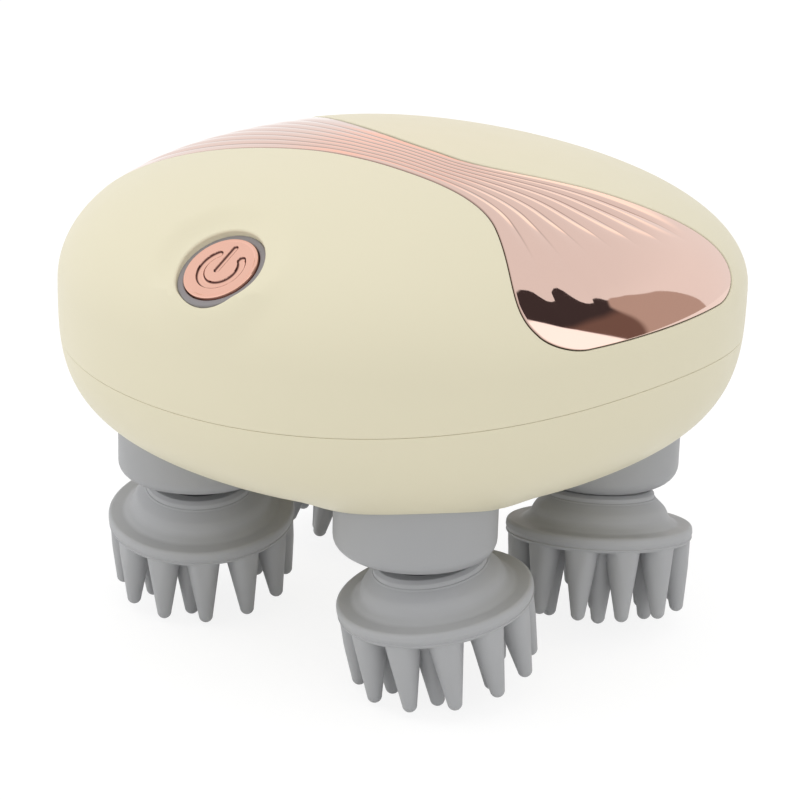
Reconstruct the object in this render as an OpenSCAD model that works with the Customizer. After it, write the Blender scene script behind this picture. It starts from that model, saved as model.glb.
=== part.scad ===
// Four-head electric scalp massager, in millimetres, +Z up, standing on its claws at Z = 0.
// The button end faces -Y and the wide end of the trim strip faces +X.

/* [Body] */
// Mean radius of the body's widest outline
body_r = 58.8; // [56:0.1:64]
// How much longer the body is along Y than along X, as a share of its radius
body_oval = 0.028; // [0:0.002:0.05]
// How square the body's outline is, as a share of its radius
body_square = 0.02; // [0:0.002:0.04]
// Height of the dome above the widest outline
dome_h = 26.3; // [24:0.1:32]
// Depth of the belly below the widest outline
belly_h = 31.0; // [29:0.1:36]
// Roundness of the belly's profile: 2 is an ellipse, more is boxier
belly_power = 3.4; // [3:0.1:4]
// Shift of the crown towards the button end
crown_shift = 9.75; // [0:0.25:12]
// Wall of both shells
wall = 2.4; // [1.8:0.1:2.8]
// Mean depth of the shells' joint below the widest outline
joint_drop = 8.9; // [7:0.1:11]
// Rise of the joint at the sides and its fall at the ends
joint_wave = 2.0; // [0:0.1:4]
// Gap between the two shells
joint_gap = 0.15; // [0.1:0.01:0.3]
// How far the belly reaches down round each socket
collar_drop = 0.8; // [0:0.1:2]
// Width of that collar
collar_w = 7; // [5:0.5:10]

/* [Trim strip] */
// Depth of the groove for the strip
groove_depth = 1.3; // [1:0.1:1.5]
// Gap all round the strip
strip_gap = 0.15; // [0.1:0.01:0.25]
// Number of ribs across the strip
rib_count = 8; // [6:1:9]
// Depth of the valleys between the ribs
rib_depth = 0.5; // [0.2:0.05:0.7]

/* [Button] */
// Radius of the button's cap
button_r = 6.4; // [5.5:0.1:7]
// Radius of the hole in the shell
button_hole_r = 7.7; // [7.5:0.1:8.2]
// Tilt of the button's axis from vertical
button_tilt = 34; // [31:1:37]
// Sideways place of the button
button_x = 6.1; // [0:0.1:7]
// Distance of the button from the body's middle
button_y = 52.85; // [50:0.05:53]
// Travel of the button when pressed
button_travel = 0.8; // [0.4:0.1:1]
// Running clearance round the button
button_clear = 0.2; // [0.15:0.05:0.3]

/* [Heads] */
// Distance between neighbouring head axes
head_pitch = 51.3; // [50:0.1:53]
// Outer radius of a head socket
socket_r = 13.7; // [13:0.1:14.2]
// Wall of a head socket
socket_wall = 2.2; // [1.6:0.1:2.6]
// Depth of the sockets' bottom below the belly
socket_drop = 5.8; // [4.5:0.1:7]
// Tilt of a claw on its shaft
claw_tilt = 10; // [6:0.5:11]
// Height of the tilt's pivot above the sockets' bottom
claw_pivot = 13; // [9:0.5:14]
// Gap between a socket and the highest point of its claw
claw_gap = 0.5; // [0.4:0.1:1.2]
// Radius of the claw's neck at its top
neck_r = 9.9; // [9.5:0.1:11]
// Radius of the claw's neck at its foot
neck_foot_r = 12.2; // [11.5:0.1:13]
// Radius of the claw's rim
rim_r = 16.7; // [16:0.1:17.5]
// Height of the claw above its fingers
claw_h = 8.5; // [8.3:0.1:10]
// Thickness of the claw's rim
rim_h = 2.7; // [2.2:0.1:3.2]
// Length of the outer fingers
outer_len = 12.6; // [10:0.1:13.5]
// Length of the inner fingers
inner_len = 14; // [11:0.1:15]
// Outward lean of the outer fingers
finger_splay = 5; // [0:0.5:6]
// Number of outer fingers
outer_count = 12; // [10:1:13]
// Number of inner fingers
inner_count = 6; // [5:1:7]
// Radius of the inner ring of fingers
inner_ring_r = 9.75; // [8.5:0.05:10]
// Radius of a finger at its root
finger_r = 2.9; // [2.4:0.1:3]
// Radius of a finger's round tip
finger_tip_r = 1.3; // [0.9:0.05:1.5]
// Radius of the head shafts
shaft_r = 2.5; // [2:0.1:3]

/* [Gears] */
// Teeth of the sun gear
sun_teeth = 42; // [38:2:46]
// Teeth of each head gear
head_teeth = 30; // [28:2:32]
// Teeth of the idler's small gear
idler_teeth = 12; // [12:1:13]
// Teeth of the idler's large gear
wheel_teeth = 60; // [56:1:60]
// Teeth of the motor's pinion
pinion_teeth = 10; // [9:1:12]
// Module of the fast stage
fast_module = 0.4; // [0.36:0.02:0.42]
// Play between meshing teeth
backlash = 0.14; // [0.1:0.02:0.2]
// Width of the slow gears
slow_w = 5; // [4:0.5:5.5]
// Width of the fast gears
fast_w = 3; // [2.5:0.5:3]
// Radial clearance of every shaft in its bearing
run_clear = 0.05; // [0.03:0.01:0.08]

/* [Drive] */
// Radius of the motor's can
motor_r = 12.2; // [11:0.1:12.5]
// Height of the motor's can
motor_h = 20; // [16:0.5:21]
// Radius of the battery
battery_r = 9.1; // [8:0.1:9.2]
// Length of the battery
battery_len = 65; // [50:1:66]
// Distance of the battery from the middle, towards the button end
battery_y = 18.5; // [17.5:0.5:20]
// Thickness of the gearbox plates
plate_t = 2; // [1.6:0.1:2.4]
// Distance of the housing screws from the middle
screw_ring = 43; // [42:0.5:44]
// Sideways place of the screws at the two ends
screw_side = 14; // [12:0.5:15]

/* [Hidden] */

cream = [0.91, 0.885, 0.80];
grey = [0.62, 0.625, 0.63];
rose_gold = [0.90, 0.74, 0.67];
steel = [0.75, 0.76, 0.78];
nylon = [0.93, 0.93, 0.90];
bronze = [0.72, 0.53, 0.32];

head_at = head_pitch / 2;
sun_dist = head_at * sqrt(2);
// A claw's lean points this way round its shaft, at rest.
lean_fr = -120;
lean_fl = -61;
lean_br = 128;
lean_bl = 30;

// Claw lengths along its own axis, from the pivot down.
neck_top_r = neck_r - 1;
claw_top = (claw_pivot + claw_gap + neck_top_r * sin(claw_tilt)) / cos(claw_tilt);
claw_foot = claw_top + claw_h;
outer_ring_r = rim_r - finger_r - 0.1;
// How far a finger's round tip reaches below the pivot when its claw leans its way.
function reach(len, ring, splay) = let (l = len - finger_tip_r)
    (claw_foot + l * cos(splay)) * cos(claw_tilt) + (ring + l * sin(splay)) * sin(claw_tilt) + finger_tip_r;
// Height of the sockets' bottom above the ground that the fingers stand on.
socket_z = max(reach(outer_len, outer_ring_r, finger_splay), reach(inner_len, inner_ring_r, 0)) - claw_pivot;
pivot_z = socket_z + claw_pivot;

belly_z = socket_z + socket_drop;
widest_z = belly_z + belly_h;
crown_z = widest_z + dome_h;

// ---- The body's surface -------------------------------------------------------------------
// Outline radius at plan angle t, moved inwards by o.
function outline(t, o) = body_r * (1 + body_square * -cos(4 * t) - body_oval * cos(2 * t)) - o;

// Point of the dome: a is the angle down from the crown, 90 at the widest outline.
function dome_raw(a, t, o) = [
    outline(t, o) * sin(a) * cos(t),
    outline(t, o) * sin(a) * sin(t) - crown_shift * pow(cos(a), 2),
    widest_z + (dome_h - o) * cos(a)
];

// Point of the belly: s runs from 0 at the widest outline to 1 at the flat bottom.
function belly_raw(s, t, o) = let (k = pow(1 - pow(s, belly_power), 1 / belly_power)) [
    outline(t, o) * k * cos(t),
    outline(t, o) * k * sin(t),
    widest_z - (belly_h - o) * s
];

function joint_z(t) = widest_z - joint_drop + joint_wave * cos(2 * t);
function joint_s(t, o, dz) = (widest_z - joint_z(t) - dz) / (belly_h - o);

// Height of the dome, moved inwards by o, over the plan point [x, y].
function dome_z(x, y, o, low = 0, high = 90, n = 24) = let (
    a = (low + high) / 2,
    d = [x, y + crown_shift * pow(cos(a), 2)],
    above = norm(d) < outline(atan2(d[1], d[0]), o) * sin(a)
) n == 0 ? widest_z + (dome_h - o) * cos(a)
    : above ? dome_z(x, y, o, low, a, n - 1) : dome_z(x, y, o, a, high, n - 1);

// The shell is flattened round the button, square to the button's axis, and blends away.
button_axis = [0, -sin(button_tilt), cos(button_tilt)];
dish_sink = 1.2;
dish_lift = 1;
dish_flat = button_hole_r + 0.7;
dish_end = dish_flat + 4.2;
button_at = [button_x, -button_y, dome_z(button_x, -button_y, 0)] - dish_sink * button_axis;
function smooth(x) = let (c = min(max(x, 0), 1)) c * c * (3 - 2 * c);
function dish(p, o) = let (
    d = p - button_at,
    h = d * button_axis,
    r = norm(d - h * button_axis),
    w = 1 - smooth((r - dish_flat) / (dish_end - dish_flat))
) abs(h) > 12 ? p : p - button_axis * max(h + o, -dish_lift) * w;
function dome(a, t, o) = dish(dome_raw(a, t, o), o);

// The belly reaches down to the sockets, whose axes are at the four corners.
function collar(p) = let (
    r = norm([abs(p[0]) - head_at, abs(p[1]) - head_at]),
    w = 1 - smooth((r - socket_r) / collar_w)
) p - [0, 0, collar_drop * w * smooth((widest_z - 10 - p[2]) / 6)];

// ---- The strip's field on the dome ---------------------------------------------------------
// u runs along the strip from -1 to 1, q across it. Both ends lie on one level of the dome.
field_end = 84.6;
field_r = field_end / 90;
function field_point(u, q, o) = let (
    p = u * sqrt(max(field_r * field_r - q * q, 0)),
    rho = sqrt(p * p + q * q)
) dome(rho * 90, atan2(q, p), o);

waist_u = 0.15;
waist_half = 0.070;
front_half = 0.397;
rear_half = 0.36;
front_from = 0.20;
front_to = 0.88;
rear_to = -0.85;
end_round = 0.10;
waist_mid = -0.054;
rear_mid = -0.06;
function end_cut(u) = let (d = max(abs(u) * field_r - (field_r - end_round), 0))
    end_round - sqrt(max(end_round * end_round - d * d, 0));
function half_width(u) = (u > waist_u
    ? waist_half + (front_half - waist_half) * smooth((u - front_from) / (front_to - front_from))
    : waist_half + (rear_half - waist_half) * smooth((waist_u - u) / (waist_u - rear_to))) - end_cut(u);
function mid_line(u) = u > waist_u
    ? waist_mid * (1 - smooth((u - 0.2) / 0.28))
    : waist_mid + (rear_mid - waist_mid) * smooth((waist_u - u) / 0.5);
// q of the point that lies v of the way from the strip's middle to its edge.
function strip_q(u, v) = mid_line(u) + v * half_width(u);

along_n = 28;
along = [for (i = [0:along_n]) sin(180 * i / along_n - 90)];

// ---- Mesh helpers --------------------------------------------------------------------------
function flat_list(l) = [for (a = l) for (b = a) b];
// Triangles of a grid of rows, whose first point has number n0.
function grid_faces(rows, cols, n0, flip) = [
    for (i = [0:rows - 2]) for (j = [0:cols - 2]) let (
        a = n0 + i * cols + j, b = a + 1, c = a + cols, d = c + 1
    ) each flip ? [[a, b, c], [b, d, c]] : [[a, c, b], [b, c, d]]
];
function face_ok(f, p) = norm(p[f[0]] - p[f[1]]) > 1e-4 && norm(p[f[1]] - p[f[2]]) > 1e-4
    && norm(p[f[2]] - p[f[0]]) > 1e-4;
// A closed skin from patches, each [grid of points, flip].
module skin(patches) {
    sizes = [for (g = patches) len(g[0]) * len(g[0][0])];
    starts = [for (i = 0, n = 0; i < len(patches); n = n + sizes[i], i = i + 1) n];
    points = [for (g = patches) each flat_list(g[0])];
    faces = [for (i = [0:len(patches) - 1]) each
        grid_faces(len(patches[i][0]), len(patches[i][0][0]), starts[i], patches[i][1])];
    polyhedron(points, [for (f = faces) if (face_ok(f, points)) f]);
}

// ---- Upper shell ---------------------------------------------------------------------------
cap_n = 9;
floor_n = 8;
// Ways across the shell: from the -Y edge to the strip, over it, and on to the +Y edge.
function near_q(u, f) = -field_r + f * (strip_q(u, -1) + field_r);
function far_q(u, f) = strip_q(u, 1) + f * (field_r - strip_q(u, 1));
// Rows close up towards the edge of the field, so that they lie evenly round the shell's rim.
rim_angle = 65;
near_rows = [for (i = [0:cap_n]) (1 - cos(rim_angle * i / cap_n)) / (1 - cos(rim_angle))];
far_rows = [for (i = [cap_n:-1:0]) 1 - near_rows[i]];
floor_rows = [for (i = [0:floor_n]) 2 * i / floor_n - 1];
// Plan angles of the field's edge, once round, counter-clockwise from -Y.
function edge_angle(u, q) = atan2(q, u * sqrt(max(field_r * field_r - q * q, 0)));
edge_q_front = [for (f = near_rows) near_q(1, f),
    for (i = [1:floor_n - 1]) strip_q(1, floor_rows[i]), for (f = far_rows) far_q(1, f)];
edge_q_rear = [for (f = near_rows) far_q(-1, 1 - f),
    for (i = [1:floor_n - 1]) strip_q(-1, floor_rows[floor_n - i]), for (f = far_rows) near_q(-1, 1 - f)];
front_angles = [for (q = edge_q_front) edge_angle(1, q)];
rear_angles = [for (q = edge_q_rear) let (t = edge_angle(-1, q)) t < 0 ? t + 360 : t];
ring_angles = concat([-90], [for (i = [1:len(front_angles) - 2]) front_angles[i]], [90],
    [for (i = [1:len(rear_angles) - 2]) rear_angles[i]], [270]);

upper_levels = [0.35, 0.7, 1];
inner_steps = [0.3, 0.6, 1];
inner_caps = [80, 68, 56, 44, 32, 20, 9, 0];
module upper_shell_skin() {
    outer = function (u, q) field_point(u, q, 0);
    floor_pt = function (u, q) field_point(u, q, groove_depth);
    near = [for (f = near_rows) [for (u = along) outer(u, near_q(u, f))]];
    far = [for (f = far_rows) [for (u = along) outer(u, far_q(u, f))]];
    floor_grid = [for (v = floor_rows) [for (u = along) floor_pt(u, strip_q(u, v))]];
    near_wall = [near[cap_n], floor_grid[0]];
    far_wall = [floor_grid[floor_n], far[0]];
    front_wall = [[for (r = floor_grid) r[along_n]],
        [for (v = floor_rows) outer(1, strip_q(1, v))]];
    rear_wall = [[for (v = floor_rows) outer(-1, strip_q(-1, v))],
        [for (r = floor_grid) r[0]]];
    ring = concat([[for (t = ring_angles) dome(field_end, t, 0)], [for (t = ring_angles) dome(90, t, 0)]],
        [for (l = upper_levels) [for (t = ring_angles) belly_raw(l * joint_s(t, 0, joint_gap / 2), t, 0)]]);
    inner = concat(
        [for (l = [2:-1:0]) [for (t = ring_angles)
            belly_raw(inner_steps[l] * joint_s(t, wall, joint_gap / 2), t, wall)]],
        [[for (t = ring_angles) dome(90, t, wall)]],
        [for (a = inner_caps) [for (t = ring_angles) dome(a, t, wall)]]);
    skin([[near, true], [near_wall, true], [floor_grid, true], [far_wall, true], [far, true],
        [front_wall, true], [rear_wall, true],
        [ring, true], [[ring[len(ring) - 1], inner[0]], true], [inner, true]]);
}

// Along the button's axis, with the button's face at Z = 0.
module at_button() {
    translate(button_at) rotate([button_tilt, 0, 0]) children();
}

// Depth under the button's face at which the line through local [x, y] meets the dome moved inwards by o.
function depth_at(x, y, o, low = 0, high = 12, n = 20) = let (
    h = (low + high) / 2,
    p = button_at + [x, y * cos(button_tilt), y * sin(button_tilt)] - h * button_axis
) n == 0 ? h
    : p[2] > dome_z(p[0], p[1], o) ? depth_at(x, y, o, h, high, n - 1) : depth_at(x, y, o, low, h, n - 1);

board_depth = 9.5;
board_w = 26;
board_l = 17;
board_t = 1.2;
post_x = 10.4;
post_r = 1.9;
post_root = 0.8;
pin_r = 0.8;
// A screw's upper post, whose top follows the slope of the shell's inner face.
module upper_post(p) {
    top = dome_z(p[0], p[1], wall);
    slope = [for (d = [[1, 0], [0, 1]]) let (a = p + d * screw_post_r, b = p - d * screw_post_r)
        (dome_z(a[0], a[1], wall) - dome_z(b[0], b[1], wall)) / (2 * screw_post_r)];
    rise = norm(slope) * screw_post_r;
    difference() {
        translate([p[0], p[1], screw_top_z])
            cylinder(h = top + rise - screw_top_z, r = screw_post_r, $fn = 24);
        translate([p[0], p[1], top + screw_root]) rotate([0, atan(norm(slope)), atan2(-slope[1], -slope[0])])
            translate([-10, -10, 0]) cube(20);
    }
}
module upper_shell() color(cream) {
    difference() {
        union() {
            upper_shell_skin();
            at_button() for (x = [-post_x, post_x]) {
                translate([x, 0, -board_depth])
                    cylinder(h = board_depth - depth_at(x, 0, wall) + post_root, r = post_r, $fn = 24);
                translate([x, 0, board_z - 0.5]) cylinder(h = board_t + 1, r = pin_r, $fn = 16);
            }
            for (p = screw_spots) upper_post(p);
        }
        at_button() translate([0, 0, -wall - 3]) cylinder(h = wall + 8, r = button_hole_r, $fn = 48);
        for (p = screw_spots) translate([p[0], p[1], screw_top_z - 1])
            cylinder(h = screw_bite + 1.5, r = screw_r, $fn = 16);
    }
}

// ---- Lower shell ---------------------------------------------------------------------------
round_n = 72;
round_angles = [for (i = [0:round_n]) 360 * i / round_n];
belly_levels = [0.15, 0.32, 0.5, 0.66, 0.8, 0.9, 0.96, 0.985, 0.995, 0.9985];
flat_at = 0.9998;
function belly(s, t, o) = collar(belly_raw(s, t, o));
// The belly's middle is a flat disc.
function belly_disc(s, t, o) = let (p = belly_raw(s, t, o)) [p[0], p[1], belly_z + o];
module lower_shell_skin() {
    outer = concat(
        [for (l = [0:len(belly_levels)]) [for (t = round_angles) let (s0 = joint_s(t, 0, -joint_gap / 2))
            belly(l == 0 ? s0 : s0 + (flat_at - s0) * belly_levels[l - 1], t, 0)]],
        [for (s = [flat_at, 1]) [for (t = round_angles) belly_disc(s, t, 0)]]);
    inner = concat(
        [for (l = [0:len(belly_levels)]) [for (t = round_angles) let (s0 = joint_s(t, wall, -joint_gap / 2))
            belly(l == 0 ? s0 : s0 + (flat_at - s0) * belly_levels[l - 1], t, wall)]],
        [for (s = [flat_at, 1]) [for (t = round_angles) belly_disc(s, t, wall)]]);
    skin([[outer, true], [inner, false], [[outer[0], inner[0]], false]]);
}

socket_clear = 0.1;
screw_r = 1.1;
screw_post_r = 3.1;
screw_bite = 8;
screw_root = 0.2;
screw_gap = 0.2;
screw_top_z = widest_z - joint_drop - 2;
screw_foot_z = belly_z + 6.5;
screw_head_r = 2.1;
screw_head_h = 1.4;
screw_seat_z = screw_foot_z + 3;
screw_spots = [[screw_ring, 0], [screw_side, screw_ring], [-screw_ring, 0], [-screw_side, -screw_ring]];
port_z = belly_z + 10.5;
port_w = 9;
port_h = 3.3;
port_shell = 0.5;
port_len = 7;
port_clear = 0.1;
port_low = port_z - port_h / 2 - port_shell;
// The socket's mouth lies just inside the belly's surface.
port_mouth = belly_raw((widest_z - port_low) / belly_h, 90, 0)[1] - 0.6;
module port_block(grow, from, length) {
    w = port_w + 2 * port_shell + 2 * grow;
    h = port_h + 2 * port_shell + 2 * grow;
    translate([-w / 2, from, port_z - h / 2]) cube([w, length, h]);
}
module lower_shell() color(cream) {
    difference() {
        union() {
            lower_shell_skin();
            for (p = screw_spots) translate([p[0], p[1], screw_foot_z])
                cylinder(h = screw_top_z - screw_gap - screw_foot_z, r = screw_post_r, $fn = 24);
        }
        for (x = [-head_at, head_at]) for (y = [-head_at, head_at]) translate([x, y, belly_z - 5])
            cylinder(h = 30, r = socket_r + socket_clear, $fn = 64);
        for (p = screw_spots) translate([p[0], p[1], belly_z - 5])
            cylinder(h = 50, r = screw_r + 0.15, $fn = 16);
        for (p = screw_spots) translate([p[0], p[1], belly_z - 5])
            cylinder(h = screw_seat_z - belly_z + 5, r = screw_head_r + 0.3, $fn = 24);
        port_block(port_clear, port_mouth - port_len - 1, port_len + 15);
    }
}

// Screws from below, heads on the seats in the lower posts, points in the upper posts.
module housing_screws() color(steel) {
    for (p = screw_spots) translate([p[0], p[1], screw_seat_z]) {
        translate([0, 0, -screw_head_h]) cylinder(h = screw_head_h, r = screw_head_r, $fn = 24);
        cylinder(h = screw_top_z + screw_bite - screw_seat_z, r = screw_r, $fn = 16);
    }
}

// ---- Sealing band behind the joint ----------------------------------------------------------
band_t = 1;
band_h = 2.4;
band_clear = 0.3;
module sealing_band() color(grey) {
    o1 = wall + band_clear;
    o2 = o1 + band_t;
    hoop = function (o, dz) [for (t = round_angles) belly_raw(joint_s(t, o, dz), t, o)];
    a = hoop(o1, -band_h / 2);
    b = hoop(o1, band_h / 2);
    c = hoop(o2, band_h / 2);
    d = hoop(o2, -band_h / 2);
    skin([[[a, b, c, d, a], false]]);
}

// ---- Trim strip ------------------------------------------------------------------------------
rib_steps = 4;
rib_n = rib_count * rib_steps;
edge_sink = 0.12;
rib_fade_from = 0.40;
rib_fade_len = 0.30;
rib_fade_skew = 0.18;
// Depth of the strip's face under the dome's surface: valleys between convex ribs, which fade out.
function rib_sink(u, v) = let (
    f = (v + 1) / 2 * rib_count,
    k = 2 * (f - floor(f + 1e-6)) - 1,
    from = rib_fade_from + rib_fade_skew * (v + 1) / 2,
    live = 1 - smooth((abs(u - waist_u / 2) - from) / rib_fade_len)
) edge_sink + rib_depth * live * k * k;
module trim_strip() color(rose_gold) {
    inset = strip_gap / body_r * 90 / field_end;
    place = function (u, v, o)
        field_point(u * (1 - inset), mid_line(u) + v * (half_width(u) - inset), o);
    rows = [for (i = [0:rib_n]) 2 * i / rib_n - 1];
    top = [for (v = rows) [for (u = along) place(u, v, rib_sink(u, v))]];
    under = [for (v = rows) [for (u = along) place(u, v, groove_depth - 0.05)]];
    skin([[top, false], [under, true],
        [[top[0], under[0]], true], [[top[rib_n], under[rib_n]], false],
        [[[for (r = top) r[0]], [for (r = under) r[0]]], false],
        [[[for (r = top) r[along_n]], [for (r = under) r[along_n]]], true]]);
}

// ---- Button -----------------------------------------------------------------------------------
ring_top = -1.3;
ring_h = 2.6;
cap_top = -0.1;
lip_top = ring_top - ring_h - 0.05;
cap_lip_r = button_r + 0.7;
cap_lip_h = 0.8;
stem_r = 2;
board_z = -board_depth - board_t;
switch_h = 2.4;
switch_w = 6;
plunger_r = 1.4;
plunger_h = 2.5;
plunger_in = 1.3;
plunger_top = -board_depth + switch_h - plunger_in + plunger_h;
module button_ring() color(grey) at_button() difference() {
    translate([0, 0, ring_top - ring_h]) cylinder(h = ring_h, r = button_hole_r - 0.05, $fn = 48);
    translate([0, 0, ring_top - ring_h - 1]) cylinder(h = ring_h + 2, r = button_r + button_clear, $fn = 48);
}
// Cap, stop lip under the ring, and stem down to the switch's plunger.
module power_button() color(rose_gold) at_button() rotate_extrude($fn = 64) polygon([
    [0, cap_top], [button_r - 1.2, cap_top - 0.1], [button_r - 0.35, cap_top - 0.25],
    [button_r, cap_top - 0.6], [button_r, lip_top], [cap_lip_r, lip_top],
    [cap_lip_r, lip_top - cap_lip_h], [stem_r, lip_top - cap_lip_h],
    [stem_r, plunger_top], [0, plunger_top]]);
module switch_plunger() color(grey) at_button() translate([0, 0, plunger_top - plunger_h])
    cylinder(h = plunger_h, r = plunger_r, $fn = 24);
module tact_switch() color("dimgray") at_button() difference() {
    translate([-switch_w / 2, -switch_w / 2, -board_depth]) cube([switch_w, switch_w, switch_h]);
    translate([0, 0, max(plunger_top - plunger_h - button_travel - 0.2, -board_depth + 0.1)])
        cylinder(h = switch_h + 1, r = plunger_r + run_clear, $fn = 24);
}
module circuit_board() color("darkgreen") at_button() difference() {
    translate([-board_w / 2, -board_l / 2, board_z]) cube([board_w, board_l, board_t]);
    for (x = [-post_x, post_x]) translate([x, 0, board_z - 1])
        cylinder(h = board_t + 2, r = pin_r + 0.1, $fn = 16);
}

// ---- Gears ---------------------------------------------------------------------------------------
slow_module = 2 * sun_dist / (sun_teeth + head_teeth);
idler_dist = slow_module * (sun_teeth + idler_teeth) / 2;
fast_dist = fast_module * (wheel_teeth + pinion_teeth) / 2;
idler_at = [0, idler_dist];
motor_at = [0, idler_dist - fast_dist];
pressure = 20;
function inv(a) = tan(a) * 180 / PI - a;
// Angle of an involute flank at radius r, from the middle of its tooth.
function flank(r, rb, half0) = let (a = acos(min(rb / r, 1))) half0 - inv(a);
function gear_outline(z, m) = let (
    rp = m * z / 2,
    rb = rp * cos(pressure),
    rt = rp + 0.95 * m,
    rf = rp - 1.2 * m,
    half0 = 90 / z - backlash / 2 / rp * 90 / PI + inv(pressure),
    r0 = max(rb, rf + 0.1 * m),
    rs = [for (i = [0:4]) r0 + (rt - r0) * i / 4]
) [for (k = [0:z - 1]) each concat(
    [let (a = 360 * k / z - flank(r0, rb, half0) * 1.05) rf * [cos(a), sin(a)]],
    [for (r = rs) let (a = 360 * k / z - flank(r, rb, half0)) r * [cos(a), sin(a)]],
    [for (i = [4:-1:0]) let (r = rs[i], a = 360 * k / z + flank(r, rb, half0)) r * [cos(a), sin(a)]],
    [let (a = 360 * k / z + flank(r0, rb, half0) * 1.05) rf * [cos(a), sin(a)]])];
// Turn that puts gear 2 in mesh with gear 1, which is turned by a1, when 2 lies in direction b from 1.
function mesh_turn(b, z1, a1, z2) = b + 180 + 180 / z2 + (b - a1) * z1 / z2;
module spur(z, m, w) linear_extrude(w) polygon(gear_outline(z, m));

base_z = socket_z + 16.5;
slow_z = base_z + plate_t + 0.5;
fast_z = slow_z + slow_w + 0.5;
top_z = fast_z + fast_w + 0.5;
hub_w = 0.4;
// Lightening holes of the slow gears, and the share of the pitch radius at which they lie.
hole_ring = 0.58;
head_hole_r = 2.4;
sun_hole_r = 4;
sun_axle_r = 2.5;
idler_axle_r = 1.5;
motor_shaft_r = 0.75;
module head_gear(x, y) color(nylon) translate([x, y, slow_z]) difference() {
    union() {
        rotate([0, 0, mesh_turn(atan2(y, x), sun_teeth, 0, head_teeth)])
            spur(head_teeth, slow_module, slow_w);
        translate([0, 0, -hub_w]) cylinder(h = slow_w + hub_w, r = shaft_r + 2, $fn = 32);
    }
    translate([0, 0, -1]) cylinder(h = slow_w + 2, r = shaft_r, $fn = 32);
    for (a = [0:60:300]) rotate([0, 0, a]) translate([slow_module * head_teeth / 2 * hole_ring, 0, -1])
        cylinder(h = slow_w + 2, r = head_hole_r, $fn = 24);
}
module sun_gear() color(nylon) translate([0, 0, slow_z]) difference() {
    union() {
        spur(sun_teeth, slow_module, slow_w);
        translate([0, 0, -hub_w]) cylinder(h = slow_w + 2 * hub_w, r = sun_axle_r + 3, $fn = 32);
    }
    translate([0, 0, -1]) cylinder(h = slow_w + 3, r = sun_axle_r + run_clear, $fn = 32);
    for (a = [30:60:330]) rotate([0, 0, a]) translate([slow_module * sun_teeth / 2 * hole_ring, 0, -1])
        cylinder(h = slow_w + 2, r = sun_hole_r, $fn = 32);
}
module idler_gear() color(nylon) translate([idler_at[0], idler_at[1], 0]) difference() {
    union() {
        translate([0, 0, slow_z]) rotate([0, 0, mesh_turn(90, sun_teeth, 0, idler_teeth)])
            spur(idler_teeth, slow_module, fast_z - slow_z + fast_w / 2);
        translate([0, 0, slow_z - hub_w]) cylinder(h = hub_w, r = idler_axle_r + 1.5, $fn = 24);
        translate([0, 0, fast_z]) spur(wheel_teeth, fast_module, fast_w);
        translate([0, 0, fast_z + fast_w]) cylinder(h = hub_w, r = idler_axle_r + 1.5, $fn = 24);
    }
    translate([0, 0, base_z]) cylinder(h = 30, r = idler_axle_r + run_clear, $fn = 24);
}
module motor_pinion() color(bronze) translate([motor_at[0], motor_at[1], fast_z]) difference() {
    rotate([0, 0, mesh_turn(270, wheel_teeth, 0, pinion_teeth)]) spur(pinion_teeth, fast_module, fast_w);
    translate([0, 0, -1]) cylinder(h = fast_w + 2, r = motor_shaft_r, $fn = 20);
}
module motor_shaft() color(steel) translate([motor_at[0], motor_at[1], fast_z])
    cylinder(h = top_z - fast_z + 9, r = motor_shaft_r, $fn = 20);
module sun_axle() color(steel) translate([0, 0, base_z + 0.4])
    cylinder(h = top_z - base_z + plate_t - 0.8, r = sun_axle_r, $fn = 32);
module idler_axle() color(steel) translate([idler_at[0], idler_at[1], base_z + 0.4])
    cylinder(h = top_z - base_z + plate_t - 0.8, r = idler_axle_r, $fn = 24);

// ---- Gearbox plates ---------------------------------------------------------------------------------
bush_wall = 1.5;
plate_r = 12.5;
pillar_r = 2.2;
spigot_r = 1.1;
pillar_spots = [[34, 0], [-34, 0], [0, -34]];
head_opening_r = 8;
motor_boss_r = 3;
module plate_blank(z) translate([0, 0, z]) linear_extrude(plate_t) hull()
    for (x = [-head_at, head_at]) for (y = [-head_at, head_at])
        translate([x, y]) circle(r = plate_r, $fn = 48);
module gearbox_base() color("gainsboro") difference() {
    plate_blank(base_z);
    for (x = [-head_at, head_at]) for (y = [-head_at, head_at]) translate([x, y, base_z - 1])
        cylinder(h = plate_t + 2, r = shaft_r + bush_wall, $fn = 32);
    translate([0, 0, base_z - 1]) cylinder(h = plate_t + 2, r = sun_axle_r, $fn = 32);
    translate([idler_at[0], idler_at[1], base_z - 1]) cylinder(h = plate_t + 2, r = idler_axle_r, $fn = 24);
    for (p = pillar_spots) translate([p[0], p[1], base_z - 1])
        cylinder(h = plate_t + 2, r = spigot_r, $fn = 16);
}
module gearbox_top() color("gainsboro") difference() {
    plate_blank(top_z);
    for (x = [-head_at, head_at]) for (y = [-head_at, head_at]) translate([x, y, top_z - 1])
        cylinder(h = plate_t + 2, r = head_opening_r, $fn = 32);
    translate([0, 0, top_z - 1]) cylinder(h = plate_t + 2, r = sun_axle_r, $fn = 32);
    translate([idler_at[0], idler_at[1], top_z - 1]) cylinder(h = plate_t + 2, r = idler_axle_r, $fn = 24);
    translate([motor_at[0], motor_at[1], top_z - 1])
        cylinder(h = plate_t + 2, r = motor_boss_r + 0.1, $fn = 32);
    for (p = pillar_spots) translate([p[0], p[1], top_z - 1])
        cylinder(h = plate_t + 2, r = spigot_r, $fn = 16);
}
// Pillars between the plates, with spigots staked in both.
module gearbox_pillars() color(nylon) for (p = pillar_spots) translate([p[0], p[1], 0]) {
    translate([0, 0, base_z + plate_t]) cylinder(h = top_z - base_z - plate_t, r = pillar_r, $fn = 24);
    translate([0, 0, base_z + 0.3]) cylinder(h = top_z - base_z + plate_t, r = spigot_r, $fn = 16);
}

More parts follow.
